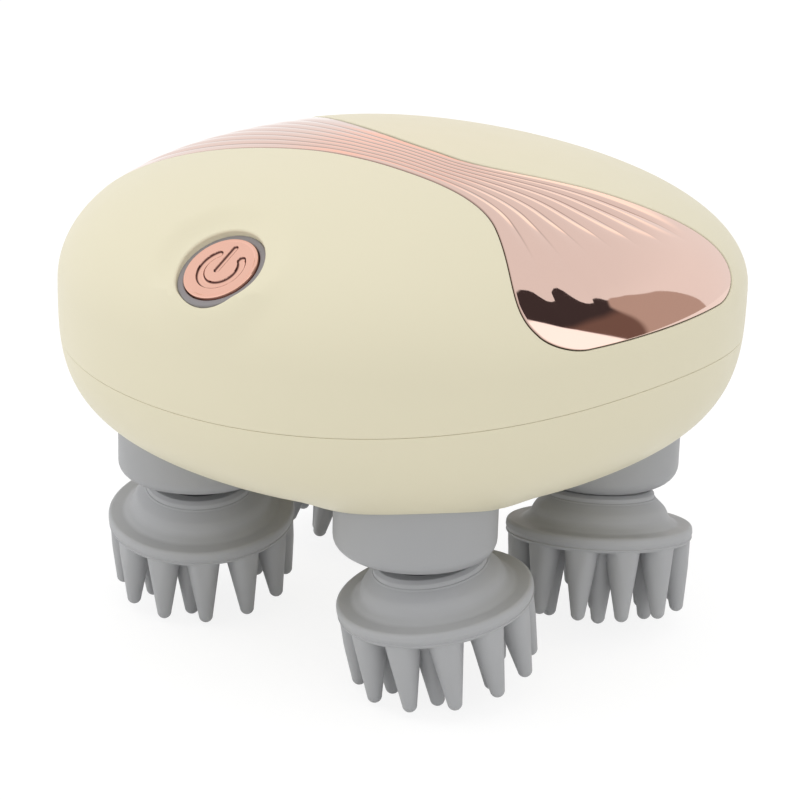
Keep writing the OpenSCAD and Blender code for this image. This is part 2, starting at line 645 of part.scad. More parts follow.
// ---- Motor, battery and charging socket ----------------------------------------------------------------
motor_z = top_z + plate_t;
can_edge = 0.8;
module motor_can() color("silver") translate([motor_at[0], motor_at[1], motor_z]) difference() {
    union() {
        rotate_extrude($fn = 64) polygon([[0, 0], [motor_r - can_edge, 0], [motor_r, can_edge],
            [motor_r, motor_h - can_edge], [motor_r - can_edge, motor_h], [0, motor_h]]);
        translate([0, 0, -plate_t + 0.4]) cylinder(h = plate_t, r = motor_boss_r, $fn = 32);
        translate([0, 0, motor_h - 0.5]) cylinder(h = 1.5, r = motor_boss_r, $fn = 32);
    }
    translate([0, 0, -plate_t]) cylinder(h = 12, r = motor_shaft_r + run_clear, $fn = 20);
}
battery_z = motor_z + battery_r + 1.2;
module battery() color("steelblue") translate([-battery_len / 2, -battery_y, battery_z]) rotate([0, 90, 0]) {
    cylinder(h = battery_len, r = battery_r, $fn = 64);
    translate([0, 0, battery_len - 0.5]) cylinder(h = 1.5, r = 3, $fn = 24);
}
cradle_w = 12;
cradle_x = 22;
cradle_wall = 1.6;
module battery_cradle() color(nylon) difference() {
    for (s = [-1, 1]) translate([s * cradle_x - cradle_w / 2, -battery_y - battery_r - cradle_wall, motor_z])
        cube([cradle_w, 2 * (battery_r + cradle_wall), battery_r + 2]);
    translate([-60, -battery_y, battery_z]) rotate([0, 90, 0])
        cylinder(h = 120, r = battery_r + 0.1, $fn = 64);
}
module charge_socket() color("silver") difference() {
    port_block(0, port_mouth - port_len, port_len);
    port_block(-port_shell, port_mouth - port_len + 1, port_len);
}

// ---- Heads ----------------------------------------------------------------------------------------------
bush_h = 6;
socket_floor = 2.4;
socket_round = 2.6;
seal_h = 1.4;
seal_r = 5;
module head_socket(x, y) color(grey) translate([x, y, socket_z]) rotate_extrude($fn = 72) {
    h = base_z - socket_z;
    polygon(concat([[shaft_r + bush_wall, seal_h], [seal_r + 0.05, seal_h], [seal_r + 0.05, 0]],
        [for (a = [0:15:90]) [socket_r - socket_round + socket_round * sin(a),
            socket_round - socket_round * cos(a)]],
        [[socket_r, h], [socket_r - socket_wall, h], [socket_r - socket_wall, socket_floor],
        [shaft_r + bush_wall + 2, socket_floor], [shaft_r + bush_wall + 2, seal_h + bush_h],
        [shaft_r + bush_wall, seal_h + bush_h]]));
}
module tube(h, r1, r2) difference() {
    cylinder(h = h, r = r2, $fn = 32);
    translate([0, 0, -1]) cylinder(h = h + 2, r = r1, $fn = 32);
}
module at_heads() for (x = [-head_at, head_at]) for (y = [-head_at, head_at]) translate([x, y, 0]) children();
module socket_bushes() color(bronze) at_heads() translate([0, 0, socket_z + seal_h])
    tube(bush_h, shaft_r + run_clear, shaft_r + bush_wall);
module plate_bushes() color(bronze) at_heads() translate([0, 0, base_z])
    tube(plate_t, shaft_r + run_clear, shaft_r + bush_wall);
module shaft_seals() color("dimgray") at_heads() translate([0, 0, socket_z + 0.2])
    tube(seal_h - 0.2, shaft_r + run_clear, seal_r);

hub_len = 6.6;
hub_wall = 1.2;
shaft_low = claw_top - claw_pivot + 3.4;
// The hub is wide enough for the upright shaft that runs askew through it.
hub_r = shaft_r + hub_wall + (claw_pivot + shaft_low) * tan(claw_tilt);
// Moves to a claw's own frame: the origin is the tilt's pivot and +Z runs up the claw's axis.
module at_claw(x, y, lean) translate([x, y, pivot_z]) rotate([0, claw_tilt, lean]) children();
module head_shaft(x, y) color(steel) translate([x, y, socket_z - shaft_low])
    cylinder(h = shaft_low + slow_z - socket_z + slow_w, r = shaft_r, $fn = 32);
module claw_hub(x, y, lean) color("dimgray") difference() {
    at_claw(x, y, lean) translate([0, 0, -claw_top - hub_len]) cylinder(h = hub_len, r = hub_r, $fn = 48);
    translate([x, y, socket_z - shaft_low]) cylinder(h = shaft_low + 3, r = shaft_r, $fn = 32);
}
rim_round = 1.1;
// Reach of the concave flare at the neck's foot.
foot_flare = 2.6;
// Turn of the rings of fingers from the claw's lean.
ring_turn = 1.5;
module finger(len) rotate_extrude($fn = 24) polygon(concat([[0, 0.6], [finger_r, 0.6], [finger_r, 0]],
    [for (a = [10:20:90]) [finger_tip_r * cos(a), -len + finger_tip_r - finger_tip_r * sin(a)]]));
module massage_claw(x, y, lean) color(grey) at_claw(x, y, lean) {
    translate([0, 0, -claw_foot]) {
        rotate_extrude($fn = 72) polygon(concat(
            [[0, 0], [rim_r - 0.25, 0], [rim_r - 0.1, 0.4]],
            [for (a = [-20:22:90])
                [rim_r - rim_round + rim_round * cos(a), rim_h - rim_round + rim_round * sin(a)]],
            [for (a = [0:18:90]) [neck_foot_r + foot_flare * (1 - sin(a)),
                rim_h + foot_flare / 2 * (1 - cos(a)) - 0.2 * sin(a)]],
            [for (i = [1:5]) let (f = i / 5) [neck_foot_r - (neck_foot_r - neck_r) * pow(f, 2),
                rim_h + foot_flare / 2 + (claw_h - rim_h - foot_flare / 2 - 1.4) * f]],
            [[neck_r - 0.5, claw_h - 1.3], [neck_r - 0.6, claw_h - 0.4], [neck_top_r, claw_h],
            [hub_r, claw_h], [hub_r, claw_h - hub_len], [0, claw_h - hub_len]]));
        for (i = [0:outer_count - 1]) rotate([0, 0, 360 * (i + 0.5) / outer_count + ring_turn])
            translate([outer_ring_r, 0, 0]) rotate([0, -finger_splay, 0]) finger(outer_len);
        for (i = [0:inner_count - 1]) rotate([0, 0, 360 * i / inner_count + ring_turn])
            translate([inner_ring_r, 0, 0]) finger(inner_len);
        finger(inner_len);
    }
}

upper_shell();
lower_shell();
sealing_band();
trim_strip();
button_ring();
power_button();
switch_plunger();
tact_switch();
circuit_board();
head_socket(head_at, -head_at);  // head_socket_fr
head_socket(-head_at, -head_at);  // head_socket_fl
head_socket(head_at, head_at);  // head_socket_br
head_socket(-head_at, head_at);  // head_socket_bl
massage_claw(head_at, -head_at, lean_fr);  // massage_claw_fr
massage_claw(-head_at, -head_at, lean_fl);  // massage_claw_fl
massage_claw(head_at, head_at, lean_br);  // massage_claw_br
massage_claw(-head_at, head_at, lean_bl);  // massage_claw_bl
claw_hub(head_at, -head_at, lean_fr);  // claw_hub_fr
claw_hub(-head_at, -head_at, lean_fl);  // claw_hub_fl
claw_hub(head_at, head_at, lean_br);  // claw_hub_br
claw_hub(-head_at, head_at, lean_bl);  // claw_hub_bl
head_shaft(head_at, -head_at);  // head_shaft_fr
head_shaft(-head_at, -head_at);  // head_shaft_fl
head_shaft(head_at, head_at);  // head_shaft_br
head_shaft(-head_at, head_at);  // head_shaft_bl
head_gear(head_at, -head_at);  // head_gear_fr
head_gear(-head_at, -head_at);  // head_gear_fl
head_gear(head_at, head_at);  // head_gear_br
head_gear(-head_at, head_at);  // head_gear_bl
socket_bushes();
plate_bushes();
shaft_seals();
sun_gear();
sun_axle();
idler_gear();
idler_axle();
motor_pinion();
motor_shaft();
motor_can();
gearbox_base();
gearbox_top();
gearbox_pillars();
battery();
battery_cradle();
housing_screws();
charge_socket();
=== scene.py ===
import bmesh
import bpy
import numpy as np
from mathutils import Matrix, Vector
from mathutils.geometry import delaunay_2d_cdt


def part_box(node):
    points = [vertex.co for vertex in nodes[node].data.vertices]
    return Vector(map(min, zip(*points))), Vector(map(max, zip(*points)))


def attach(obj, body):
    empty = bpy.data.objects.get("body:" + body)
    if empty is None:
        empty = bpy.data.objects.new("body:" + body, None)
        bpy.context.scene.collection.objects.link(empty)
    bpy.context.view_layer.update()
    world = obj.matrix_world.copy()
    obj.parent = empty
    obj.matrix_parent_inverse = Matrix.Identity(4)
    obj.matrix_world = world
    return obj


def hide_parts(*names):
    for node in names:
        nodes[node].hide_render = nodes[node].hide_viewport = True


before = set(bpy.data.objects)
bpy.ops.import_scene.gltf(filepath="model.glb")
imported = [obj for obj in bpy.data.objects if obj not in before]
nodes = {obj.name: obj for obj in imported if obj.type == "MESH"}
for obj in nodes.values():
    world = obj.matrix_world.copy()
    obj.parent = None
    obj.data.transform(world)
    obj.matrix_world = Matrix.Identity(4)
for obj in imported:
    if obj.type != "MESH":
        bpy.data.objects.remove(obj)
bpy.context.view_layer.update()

# Each piece that shows is a finer mesh in the place of its CAD node. The nodes inside stay and get
# better materials.
MM = 0.001
TAU = 2 * np.pi

# ---- Sizes in millimetres, the same as in the part's source ----
body_r, body_oval, body_square = 58.8, 0.028, 0.02
dome_h, belly_h, belly_power, crown_shift = 26.3, 31.0, 3.4, 9.75
wall, joint_drop, joint_wave = 2.4, 8.9, 2.0
collar_drop, collar_w, collar_below, collar_fade = 0.8, 7.0, 10, 6
groove_depth, strip_gap, rib_count, rib_depth = 1.3, 0.15, 8, 0.5
button_r, button_hole_r = 6.4, 7.7
button_tilt, button_x, button_y = np.radians(34), 6.1, 52.85
dish_sink, dish_lift = 1.2, 1.0
board_posts, post_r = (-10.4, 10.4), 1.9
screw_spots, boss_r = [(43, 0), (14, 43), (-43, 0), (-14, -43)], 3.1
head_at, socket_r, socket_wall, socket_drop = 51.3 / 2, 13.7, 2.2, 5.8
claw_tilt, claw_pivot, claw_gap = np.radians(10), 13.0, 0.5
neck_r, neck_foot_r, rim_r, claw_h, rim_h = 9.9, 12.2, 16.7, 8.5, 2.7
outer_len, inner_len, outer_count, inner_count = 12.6, 14.0, 12, 6
finger_splay, shaft_r = np.radians(5), 2.5
outer_ring_r, inner_ring_r, ring_turn = 13.7, 9.75, 1.5
claw_top = (claw_pivot + claw_gap + (neck_r - 1) * np.sin(claw_tilt)) / np.cos(claw_tilt)
hub_r, hub_len = shaft_r + 1.2 + (claw_top + 3.4) * np.tan(claw_tilt), 6.6
leans = {"fr": -120, "fl": -61, "br": 128, "bl": 30}
corners = {"fr": (1, -1), "fl": (-1, -1), "br": (1, 1), "bl": (-1, 1)}

socket_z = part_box("head_socket_fr")[0].z / MM
base_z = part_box("head_socket_fr")[1].z / MM
belly_z = socket_z + socket_drop
widest_z = belly_z + belly_h
joint_z = widest_z - joint_drop
screw_seat_z = belly_z + 9.5
port_z = belly_z + 10.5

# The scene's own: shapes fitted closer to the photo, the joint's half gap, how far the upper face's
# chart runs on below the widest line, the radii of rounded edges, and how many points loops have.
dish_blend, finger_r, tip_r = 5.2, 3.0, 1.26
seam_gap, rim_band = 0.025, 0.14
seam_round, groove_round, button_hole_round, bore_round, small_bore_round = 0.1, 0.3, 0.45, 0.3, 0.25
seam_points, large_points, hole_points, small_points = 256, 128, 96, 32


# ---- The body's surface: t is the angle round it, o how far inside the outer face it lies ----
def smooth(x):
    c = np.clip(x, 0, 1)
    return c * c * (3 - 2 * c)


def bisect(low, high, past):
    """The values between low and high at which past() turns true."""
    for _ in range(44):
        middle = (low + high) / 2
        over = past(middle)
        high, low = np.where(over, middle, high), np.where(over, low, middle)
    return middle


def outline(t, o):
    return body_r * (1 - body_square * np.cos(4 * t) - body_oval * np.cos(2 * t)) - o


def dome_at(a, t, o):
    """A point of the dome; a is 0 at the crown and a quarter turn at the widest line."""
    r = outline(t, o) * np.sin(a)
    y = r * np.sin(t) - crown_shift * np.cos(a) ** 2
    return np.stack([r * np.cos(t), y, widest_z + (dome_h - o) * np.cos(a)], -1)


def dome_angle(x, y, o):
    def outside(a):
        dy = y + crown_shift * np.cos(a) ** 2
        return np.hypot(x, dy) < outline(np.arctan2(dy, x), o) * np.sin(a)

    return bisect(np.zeros_like(x), np.full_like(x, np.pi / 2), outside)


def dome_height(x, y, o):
    return widest_z + (dome_h - o) * np.cos(dome_angle(x, y, o))


axis = np.array([0, -np.sin(button_tilt), np.cos(button_tilt)])
side_x = np.array([1.0, 0, 0])
side_y = np.array([0, np.cos(button_tilt), np.sin(button_tilt)])
button_top = dome_height(np.array([button_x]), np.array([-button_y]), 0)[0]
button_at = np.array([button_x, -button_y, button_top]) - dish_sink * axis
dish_flat = button_hole_r + 0.7
dish_reach, dish_spared, dish_spared_from = 12, 0.3, 1.5


def at_button(p):
    """Points given in the button's own frame, whose Z is the way it slides."""
    p = np.asarray(p, float)
    return button_at + p[..., :1] * side_x + p[..., 1:2] * side_y + p[..., 2:] * axis


def dish(p, o):
    """Flattens the dome round the button. The higher side is sunk a little less than all the way,
    which leaves a low wall over the ring there."""
    d = p - button_at
    h = d @ axis
    r = np.linalg.norm(d - h[..., None] * axis, axis=-1)
    w = 1 - smooth((r - dish_flat) / dish_blend)
    w = np.where(np.abs(h) > dish_reach, 0, w)
    sunk = (h + o) * (1 - dish_spared * smooth((h + o) / dish_spared_from))
    return p - axis * (np.maximum(sunk, -dish_lift) * w)[..., None]


def belly_at(k, s, t, o):
    """A point of the belly: k is its share of the width and s its share of the depth."""
    r = outline(t, o) * k
    return np.stack([r * np.cos(t), r * np.sin(t), widest_z - (belly_h - o) * s], -1)


def belly_k(s):
    return (1 - np.clip(s, 0, 1) ** belly_power) ** (1 / belly_power)


def joint_s(t, o, dz):
    """The joint's share of the belly's depth, raised by dz."""
    return (joint_drop - joint_wave * np.cos(2 * t) - dz) / (belly_h - o)


def collar(p):
    """Lowers the belly a little round each socket, fading out towards the widest line."""
    r = np.hypot(np.abs(p[..., 0]) - head_at, np.abs(p[..., 1]) - head_at)
    w = 1 - smooth((r - socket_r) / collar_w)
    drop = collar_drop * w * smooth((widest_z - collar_below - p[..., 2]) / collar_fade)
    return p - drop[..., None] * np.array([0, 0, 1.0])


# ---- Plane charts: every point of a shell's face has a place in a flat plane ----
def polar(m, t):
    return m[..., None] * np.stack([np.cos(t), np.sin(t)], -1)


def upper_face(P, o=0.0):
    rho, t = np.hypot(P[..., 0], P[..., 1]), np.arctan2(P[..., 1], P[..., 0])
    top = dish(dome_at(np.minimum(rho, 1) * np.pi / 2, t, o), o)
    s = np.clip((rho - 1) / rim_band, 0, 1.2) * joint_s(t, o, seam_gap)
    return np.where((rho <= 1)[..., None], top, belly_at(belly_k(s), s, t, o))


def upper_chart(x, y, o):
    a = dome_angle(x, y, o)
    return polar(a / (np.pi / 2), np.arctan2(y + crown_shift * np.cos(a) ** 2, x))


def line_chart(points, direction, o):
    """Chart places where the lines through the points meet the dome moved inwards by o."""

    def above(h):
        p = points + h[:, None] * direction
        return p[:, 2] > dome_height(p[:, 0], p[:, 1], o)

    reach = np.full(len(points), 14.0)
    p = points + bisect(-reach, reach, above)[:, None] * direction
    return upper_chart(p[:, 0], p[:, 1], o)


# The belly's section in small steps: an angle, and the length of the section up to it.
turn = np.linspace(0, np.pi / 2, 6001)
turn_k, turn_s = np.sin(turn) ** (2 / belly_power), np.cos(turn) ** (2 / belly_power)
turn_m = np.concatenate([[0], np.cumsum(np.hypot(np.diff(turn_k) * body_r, np.diff(turn_s) * belly_h))])


def lower_face(P, o=0.0):
    m, t = np.hypot(P[..., 0], P[..., 1]), np.arctan2(P[..., 1], P[..., 0])
    f = np.interp(m, turn_m, turn)
    return collar(belly_at(np.sin(f) ** (2 / belly_power), np.cos(f) ** (2 / belly_power), t, o))


def turn_chart(f, t):
    return polar(np.interp(f, turn, turn_m), t)


def lower_chart(x, y, o):
    t = np.arctan2(y, x)
    k = np.clip(np.hypot(x, y) / outline(t, o), 0, 1)
    return turn_chart(np.arcsin(k ** (belly_power / 2)), t)


def lower_chart_z(x, z, o):
    """Chart place on the belly's +Y side for a sideways place and a height."""
    s = (widest_z - z) / (belly_h - o)
    t = np.full_like(x, np.pi / 2)
    for _ in range(30):
        t = np.arccos(np.clip(x / (outline(t, o) * belly_k(s)), -1, 1))
    return turn_chart(np.arccos(s ** (belly_power / 2)), t)


def seam_loop(t, o):
    return turn_chart(np.arccos(joint_s(t, o, -seam_gap) ** (belly_power / 2)), t)


# ---- Mesh building ---------------------------------
def unit(v):
    return v / np.maximum(np.linalg.norm(v, axis=-1, keepdims=True), 1e-12)


class Face:
    """A chart with its unit length, and +1 or -1 for the way out."""

    def __init__(self, at, step, out):
        self.at, self.step, self.out = at, step, out

    def slopes(self, P, o):
        steps = np.eye(2) * self.step
        return [(self.at(P + e, o) - self.at(P - e, o)) / (2 * self.step) for e in steps]

    def normal(self, P, o=0.0):
        fp, fq = self.slopes(P, o)
        return unit(np.cross(fp, fq)) * self.out

    def moved(self, loop, d):
        """The closed loop moved by d millimetres over the face, outwards when d is above 0."""
        fp, fq = self.slopes(loop, 0.0)
        tangent = np.roll(loop, -1, 0) - np.roll(loop, 1, 0)
        T = unit(fp * tangent[:, :1] + fq * tangent[:, 1:])
        B = np.cross(T, unit(np.cross(fp, fq)))
        g = np.stack([(fp * fp).sum(1), (fp * fq).sum(1), (fq * fq).sum(1)])
        b = np.stack([(fp * B).sum(1), (fq * B).sum(1)])
        det = g[0] * g[2] - g[1] ** 2
        way = np.stack([(g[2] * b[0] - g[1] * b[1]) / det, (g[0] * b[1] - g[1] * b[0]) / det], -1)
        return loop + d * way


upper = Face(upper_face, 2e-4, 1)
lower = Face(lower_face, 0.02, -1)


def circle(n, r=1.0, start=0.0):
    t = start + np.arange(n) * TAU / n
    return np.stack([r * np.cos(t), r * np.sin(t)], -1)


def flat_ring(loop, r, z, at=(0, 0)):
    """The loop scaled by r, moved sideways and laid at the height z."""
    return np.column_stack([loop * r + at, np.full(len(loop), z)])


def inside(points, loop):
    out = np.zeros(len(points), bool)
    a, b = loop, np.roll(loop, -1, 0)
    rise = b[:, 1] - a[:, 1]
    rise = np.where(rise == 0, 1e-30, rise)
    for i in range(0, len(points), 2000):
        x, y = points[i : i + 2000, :1], points[i : i + 2000, 1:]
        crosses = (a[:, 1] > y) != (b[:, 1] > y)
        left = x < a[:, 0] + (y - a[:, 1]) * (b[:, 0] - a[:, 0]) / rise
        out[i : i + 2000] = (crosses & left).sum(1) % 2 == 1
    return out


def between(points, outer, holes):
    """Which points lie inside the outer loop and outside its holes."""
    keep = inside(points, outer)
    for h in holes:
        keep &= ~inside(points, h)
    return keep


def nearest(points, others):
    """Each point's distance from the nearest of the others."""
    parts = [points[i : i + 400, None] for i in range(0, len(points), 400)]
    return np.concatenate([np.sqrt(((p - others) ** 2).sum(-1).min(1)) for p in parts])


def hexagons(radius, step):
    """Evenly spaced points in a disc."""
    rows = np.arange(-radius, radius, step * np.sqrt(0.75))
    cols = np.arange(-radius, radius, step)
    g = np.stack(np.meshgrid(cols, rows), -1)
    g[1::2, :, 0] += step / 2
    g = g.reshape(-1, 2)
    return g[np.hypot(g[:, 0], g[:, 1]) < radius]


def triangulate(outer, holes, seeds, room):
    """Triangles between a loop and its holes, over the seeds that lie at least room from all loops."""
    loops = [outer] + holes
    seeds = seeds[between(seeds, outer, holes)]
    seeds = seeds[nearest(seeds, np.concatenate(loops)) > room]
    pts = np.concatenate(loops + [seeds])
    marks = np.cumsum([0] + [len(loop) for loop in loops])
    edges = []
    for start, loop in zip(marks, loops):
        edges += [(int(start) + i, int(start) + (i + 1) % len(loop)) for i in range(len(loop))]
    _, _, tris, source, _, _ = delaunay_2d_cdt([Vector(p) for p in pts], edges, [], 0, 1e-12)
    index = np.array([s[0] for s in source])
    tris = index[np.array(tris)]
    return pts, tris[between(pts[tris].mean(1), outer, holes)], marks


class Skin:
    """Points in millimetres, the normals and painted shades that are known, and faces."""

    def __init__(self):
        self.points, self.normals, self.faces, self.tints, self.count = [], [], [], [], 0

    def add(self, points, normals=None):
        points = np.asarray(points, float).reshape(-1, 3)
        normals = np.zeros_like(points) if normals is None else np.asarray(normals).reshape(-1, 3)
        self.points.append(points)
        self.normals.append(normals)
        self.count += len(points)
        return np.arange(self.count - len(points), self.count)

    def tint(self, ids, values):
        """Keeps a painted shade from 0 to 1 for these points, which the material reads."""
        self.tints.append((ids, np.asarray(values, float).reshape(-1)))

    def bridge(self, a, b):
        self.faces += np.stack([a, np.roll(a, -1), np.roll(b, -1), b], 1).tolist()

    def chain(self, last, rings):
        """Bridges from a ring of indices through rings of points, or of (points, normals)."""
        for r in rings:
            ring = self.add(*r) if isinstance(r, tuple) else self.add(r)
            self.bridge(last, ring)
            last = ring
        return last

    def fan(self, ring, point):
        c = self.add(point)[0]
        self.faces += [[a, b, c] for a, b in zip(ring.tolist(), np.roll(ring, -1).tolist())]

    def column(self, rings, start, end):
        """Rings closed by a point at each end."""
        first = self.add(rings[0])
        self.fan(first, start)
        self.fan(self.chain(first, rings[1:]), end)

    def grid(self, ids):
        a, b, c, d = ids[:-1, :-1], ids[:-1, 1:], ids[1:, 1:], ids[1:, :-1]
        self.faces += np.stack([a, b, c, d], -1).reshape(-1, 4).tolist()

    def sheet(self, face, o, outer, holes, seeds, room):
        """Adds a triangulated part of a face; gives the index rings of its loops."""
        pts, tris, marks = triangulate(outer, holes, seeds, room)
        ids = self.add(face.at(pts, o), face.normal(pts, o))
        self.faces += ids[tris].tolist()
        return [ids[a:b] for a, b in zip(marks, marks[1:])]

    def build(self, name, sharp=40):
        mesh = bpy.data.meshes.new(name)
        mesh.from_pydata((np.concatenate(self.points) * MM).tolist(), [], self.faces)
        bm = bmesh.new()
        bm.from_mesh(mesh)
        bmesh.ops.recalc_face_normals(bm, faces=bm.faces)
        bm.to_mesh(mesh)
        bm.free()
        mesh.shade_smooth()
        mesh.set_sharp_from_angle(angle=np.radians(sharp))
        mesh.normals_split_custom_set_from_vertices(np.concatenate(self.normals).tolist())
        # The painted shade goes on the mesh as a colour attribute.
        if self.tints:
            painted_shade = np.zeros((self.count, 4))
            painted_shade[:, 3] = 1
            for ids, values in self.tints:
                painted_shade[ids, :3] = values[:, None]
            layer = mesh.color_attributes.new("painted_shade", "FLOAT_COLOR", "POINT")
            layer.data.foreach_set("color", painted_shade.reshape(-1))
        return show(name, mesh)


def show(name, data):
    obj = bpy.data.objects.new(name, data)
    bpy.context.scene.collection.objects.link(obj)
    return obj


def edge_rings(face, loop_at, r, side, steps=4, into=None):
    """The loop where a face's rounded edge starts, and the rings that carry it over.
    loop_at gives the loop moved by a distance. side is 1 where the face lies inside the loop and -1
    where it lies outside. into is the way into the body, by default against the face's normal."""
    rings = []
    for th in np.linspace(0, np.pi / 2, steps + 1)[1:]:
        P = loop_at(r * (1 - np.sin(th)))
        p, N = face.at(P, 0.0), face.normal(P)
        B = np.cross(unit(np.roll(p, -1, 0) - np.roll(p, 1, 0)), N) * side * face.out
        up = N if into is None else -np.asarray(into, float)
        rings.append((p - up * r * (1 - np.cos(th)), unit(N * np.cos(th) + B * np.sin(th))))
    return loop_at(r), rings


def profile(corners, steps):
    """Points and normals of a profile (r, z, fillet), walked with the material on its left."""
    pts, nrm = [], []
    c = np.array([corner[:2] for corner in corners], float)
    fillets = [corner[2] if len(corner) > 2 else 0 for corner in corners]
    for i, p in enumerate(c):
        if i in (0, len(c) - 1) or fillets[i] <= 0:
            pts.append(p)
            nrm.append((0, 0))
            continue
        a, b = c[i - 1] - p, c[i + 1] - p
        la, lb = np.linalg.norm(a), np.linalg.norm(b)
        a, b = a / la, b / lb
        half = np.arccos(np.clip(a @ b, -1, 1)) / 2
        cut = min(fillets[i] / np.tan(half), la * 0.499, lb * 0.499)
        r = cut * np.tan(half)
        centre = p + unit(a + b) * r / np.sin(half)
        s, e = p + a * cut - centre, p + b * cut - centre
        sweep = np.arctan2(s[0] * e[1] - s[1] * e[0], s @ e)
        for w in sweep * np.linspace(0, 1, steps + 1):
            d = np.array([s[0] * np.cos(w) - s[1] * np.sin(w), s[0] * np.sin(w) + s[1] * np.cos(w)])
            pts.append(centre + d)
            nrm.append(unit(d) if sweep > 0 else -unit(d))
    return np.array(pts), np.array(nrm, float)


def revolve(skin, corners, n, steps, place=np.asarray, closed=False):
    """A body of revolution: r is the distance from the axis and z the height, counter-clockwise."""
    c = circle(n)
    origin = place(np.zeros((1, 3)))
    first = last = None
    for (r, z), (nr, nz) in zip(*profile(corners, steps)):
        if r < 1e-6:
            ring = skin.add(place(np.array([[0, 0, z]])))
        else:
            ring = skin.add(place(flat_ring(c, r, z)), place(flat_ring(c, nr, nz)) - origin)
        if last is None:
            first = ring
        elif len(last) == len(ring):
            skin.bridge(last, ring)
        else:
            pole, loop = sorted((last, ring), key=len)
            skin.faces += [[pole[0], a, b] for a, b in zip(loop.tolist(), np.roll(loop, -1).tolist())]
        last = ring
    if closed:
        skin.bridge(last, first)


# ---- The strip's outline: u runs along it and v across it, both from -1 to 1 ----
field_r = 84.6 / 90
waist_u, waist_half, front_half, rear_half = 0.15, 0.070, 0.397, 0.36
front_from, front_to, rear_to, end_round = 0.20, 0.88, -0.85, 0.10
waist_mid, rear_mid = -0.054, -0.06


def half_width(u):
    front = waist_half + (front_half - waist_half) * smooth((u - front_from) / (front_to - front_from))
    rear = waist_half + (rear_half - waist_half) * smooth((waist_u - u) / (waist_u - rear_to))
    d = np.maximum(np.abs(u) * field_r - (field_r - end_round), 0)
    end = end_round - np.sqrt(np.maximum(end_round**2 - d * d, 0))
    return np.where(u > waist_u, front, rear) - end


def mid_line(u):
    front = waist_mid * (1 - smooth((u - front_from) / 0.28))
    rear = waist_mid + (rear_mid - waist_mid) * smooth((waist_u - u) / 0.5)
    return np.where(u > waist_u, front, rear)


def strip_chart(u, v, inset=0.0):
    q = mid_line(u) + v * (half_width(u) - inset)
    return np.stack([u * (1 - inset) * np.sqrt(np.maximum(field_r**2 - q * q, 0)), q], -1)


along = np.sin(np.linspace(-np.pi / 2, np.pi / 2, 261))
across = np.linspace(-1, 1, 61)
groove_loop = np.concatenate(
    [
        strip_chart(along[:-1], -1.0),
        strip_chart(np.ones(60), across[:-1]),
        strip_chart(along[:0:-1], 1.0),
        strip_chart(-np.ones(60), across[:0:-1]),
    ]
)


# ---- Upper shell -----------------------------------
def upper_shell():
    skin = Skin()
    edge = circle(seam_points, 1 + rim_band)
    hole, small = circle(hole_points), circle(small_points)

    def hole_loop(d, o=0.0):
        return line_chart(at_button(flat_ring(hole, button_hole_r + d, 0)), axis, o)

    groove, groove_rings = edge_rings(upper, lambda d: upper.moved(groove_loop, d), groove_round, -1)
    button, button_rings = edge_rings(upper, hole_loop, button_hole_round, -1, 5, -axis)
    seam, seam_rings = edge_rings(upper, lambda d: upper.moved(edge, -d), seam_round, 1, 3)
    near_seam = [
        circle(seam_points, r, TAU / seam_points * (i % 2) / 2)
        for i, r in enumerate(np.linspace(0.965, 1 + rim_band - 0.02, 9))
    ]
    seeds = np.concatenate([hexagons(0.95, 0.021)] + near_seam)
    face_seam, face_groove, face_button = skin.sheet(upper, 0.0, seam, [groove, button], seeds, room=0.011)

    # The groove's wall and floor.
    wall_foot = upper.at(groove_loop) - upper.normal(groove_loop) * groove_depth
    last = skin.chain(face_groove, groove_rings + [wall_foot])
    pts, tris, _ = triangulate(groove_loop, [], hexagons(0.95, 0.06), room=0.02)
    floor = np.concatenate([last, skin.add(upper.at(pts[len(groove_loop) :], groove_depth))])
    skin.faces += floor[tris].tolist()

    # The inside, with the posts for the board and the bosses for the screws.
    feet = [line_chart(at_button(flat_ring(small, post_r, 0, (x, 0))), axis, wall) for x in board_posts]
    feet += [upper_chart(small[:, 0] * boss_r + x, small[:, 1] * boss_r + y, wall) for x, y in screw_spots]
    seeds = np.concatenate([hexagons(0.95, 0.05)] + [circle(large_points, r) for r in (0.98, 1.04, 1.09)])
    loops = skin.sheet(upper, wall, edge, [hole_loop(0.0, wall)] + feet, seeds, room=0.02)
    skin.bridge(skin.chain(face_seam, seam_rings), loops[0])
    skin.bridge(skin.chain(face_button, button_rings), loops[1])
    post = ((post_r, -9.3), (post_r - 0.2, -9.5), (0.8, -9.5), (0.8, -10.9), (0.6, -11.15))
    for x, foot in zip(board_posts, loops[2:4]):
        last = skin.chain(foot, [at_button(flat_ring(small, r, z, (x, 0))) for r, z in post])
        skin.fan(last, at_button([[x, 0, -11.2]]))
    end = joint_z - 2
    boss = ((boss_r, end + 0.2), (boss_r - 0.2, end), (1.1, end), (1.1, end + 8))
    for (x, y), foot in zip(screw_spots, loops[4:]):
        last = skin.chain(foot, [flat_ring(small, r, z, (x, y)) for r, z in boss])
        skin.fan(last, [[x, y, end + 8.5]])
    return skin.build("upper_shell_skin")


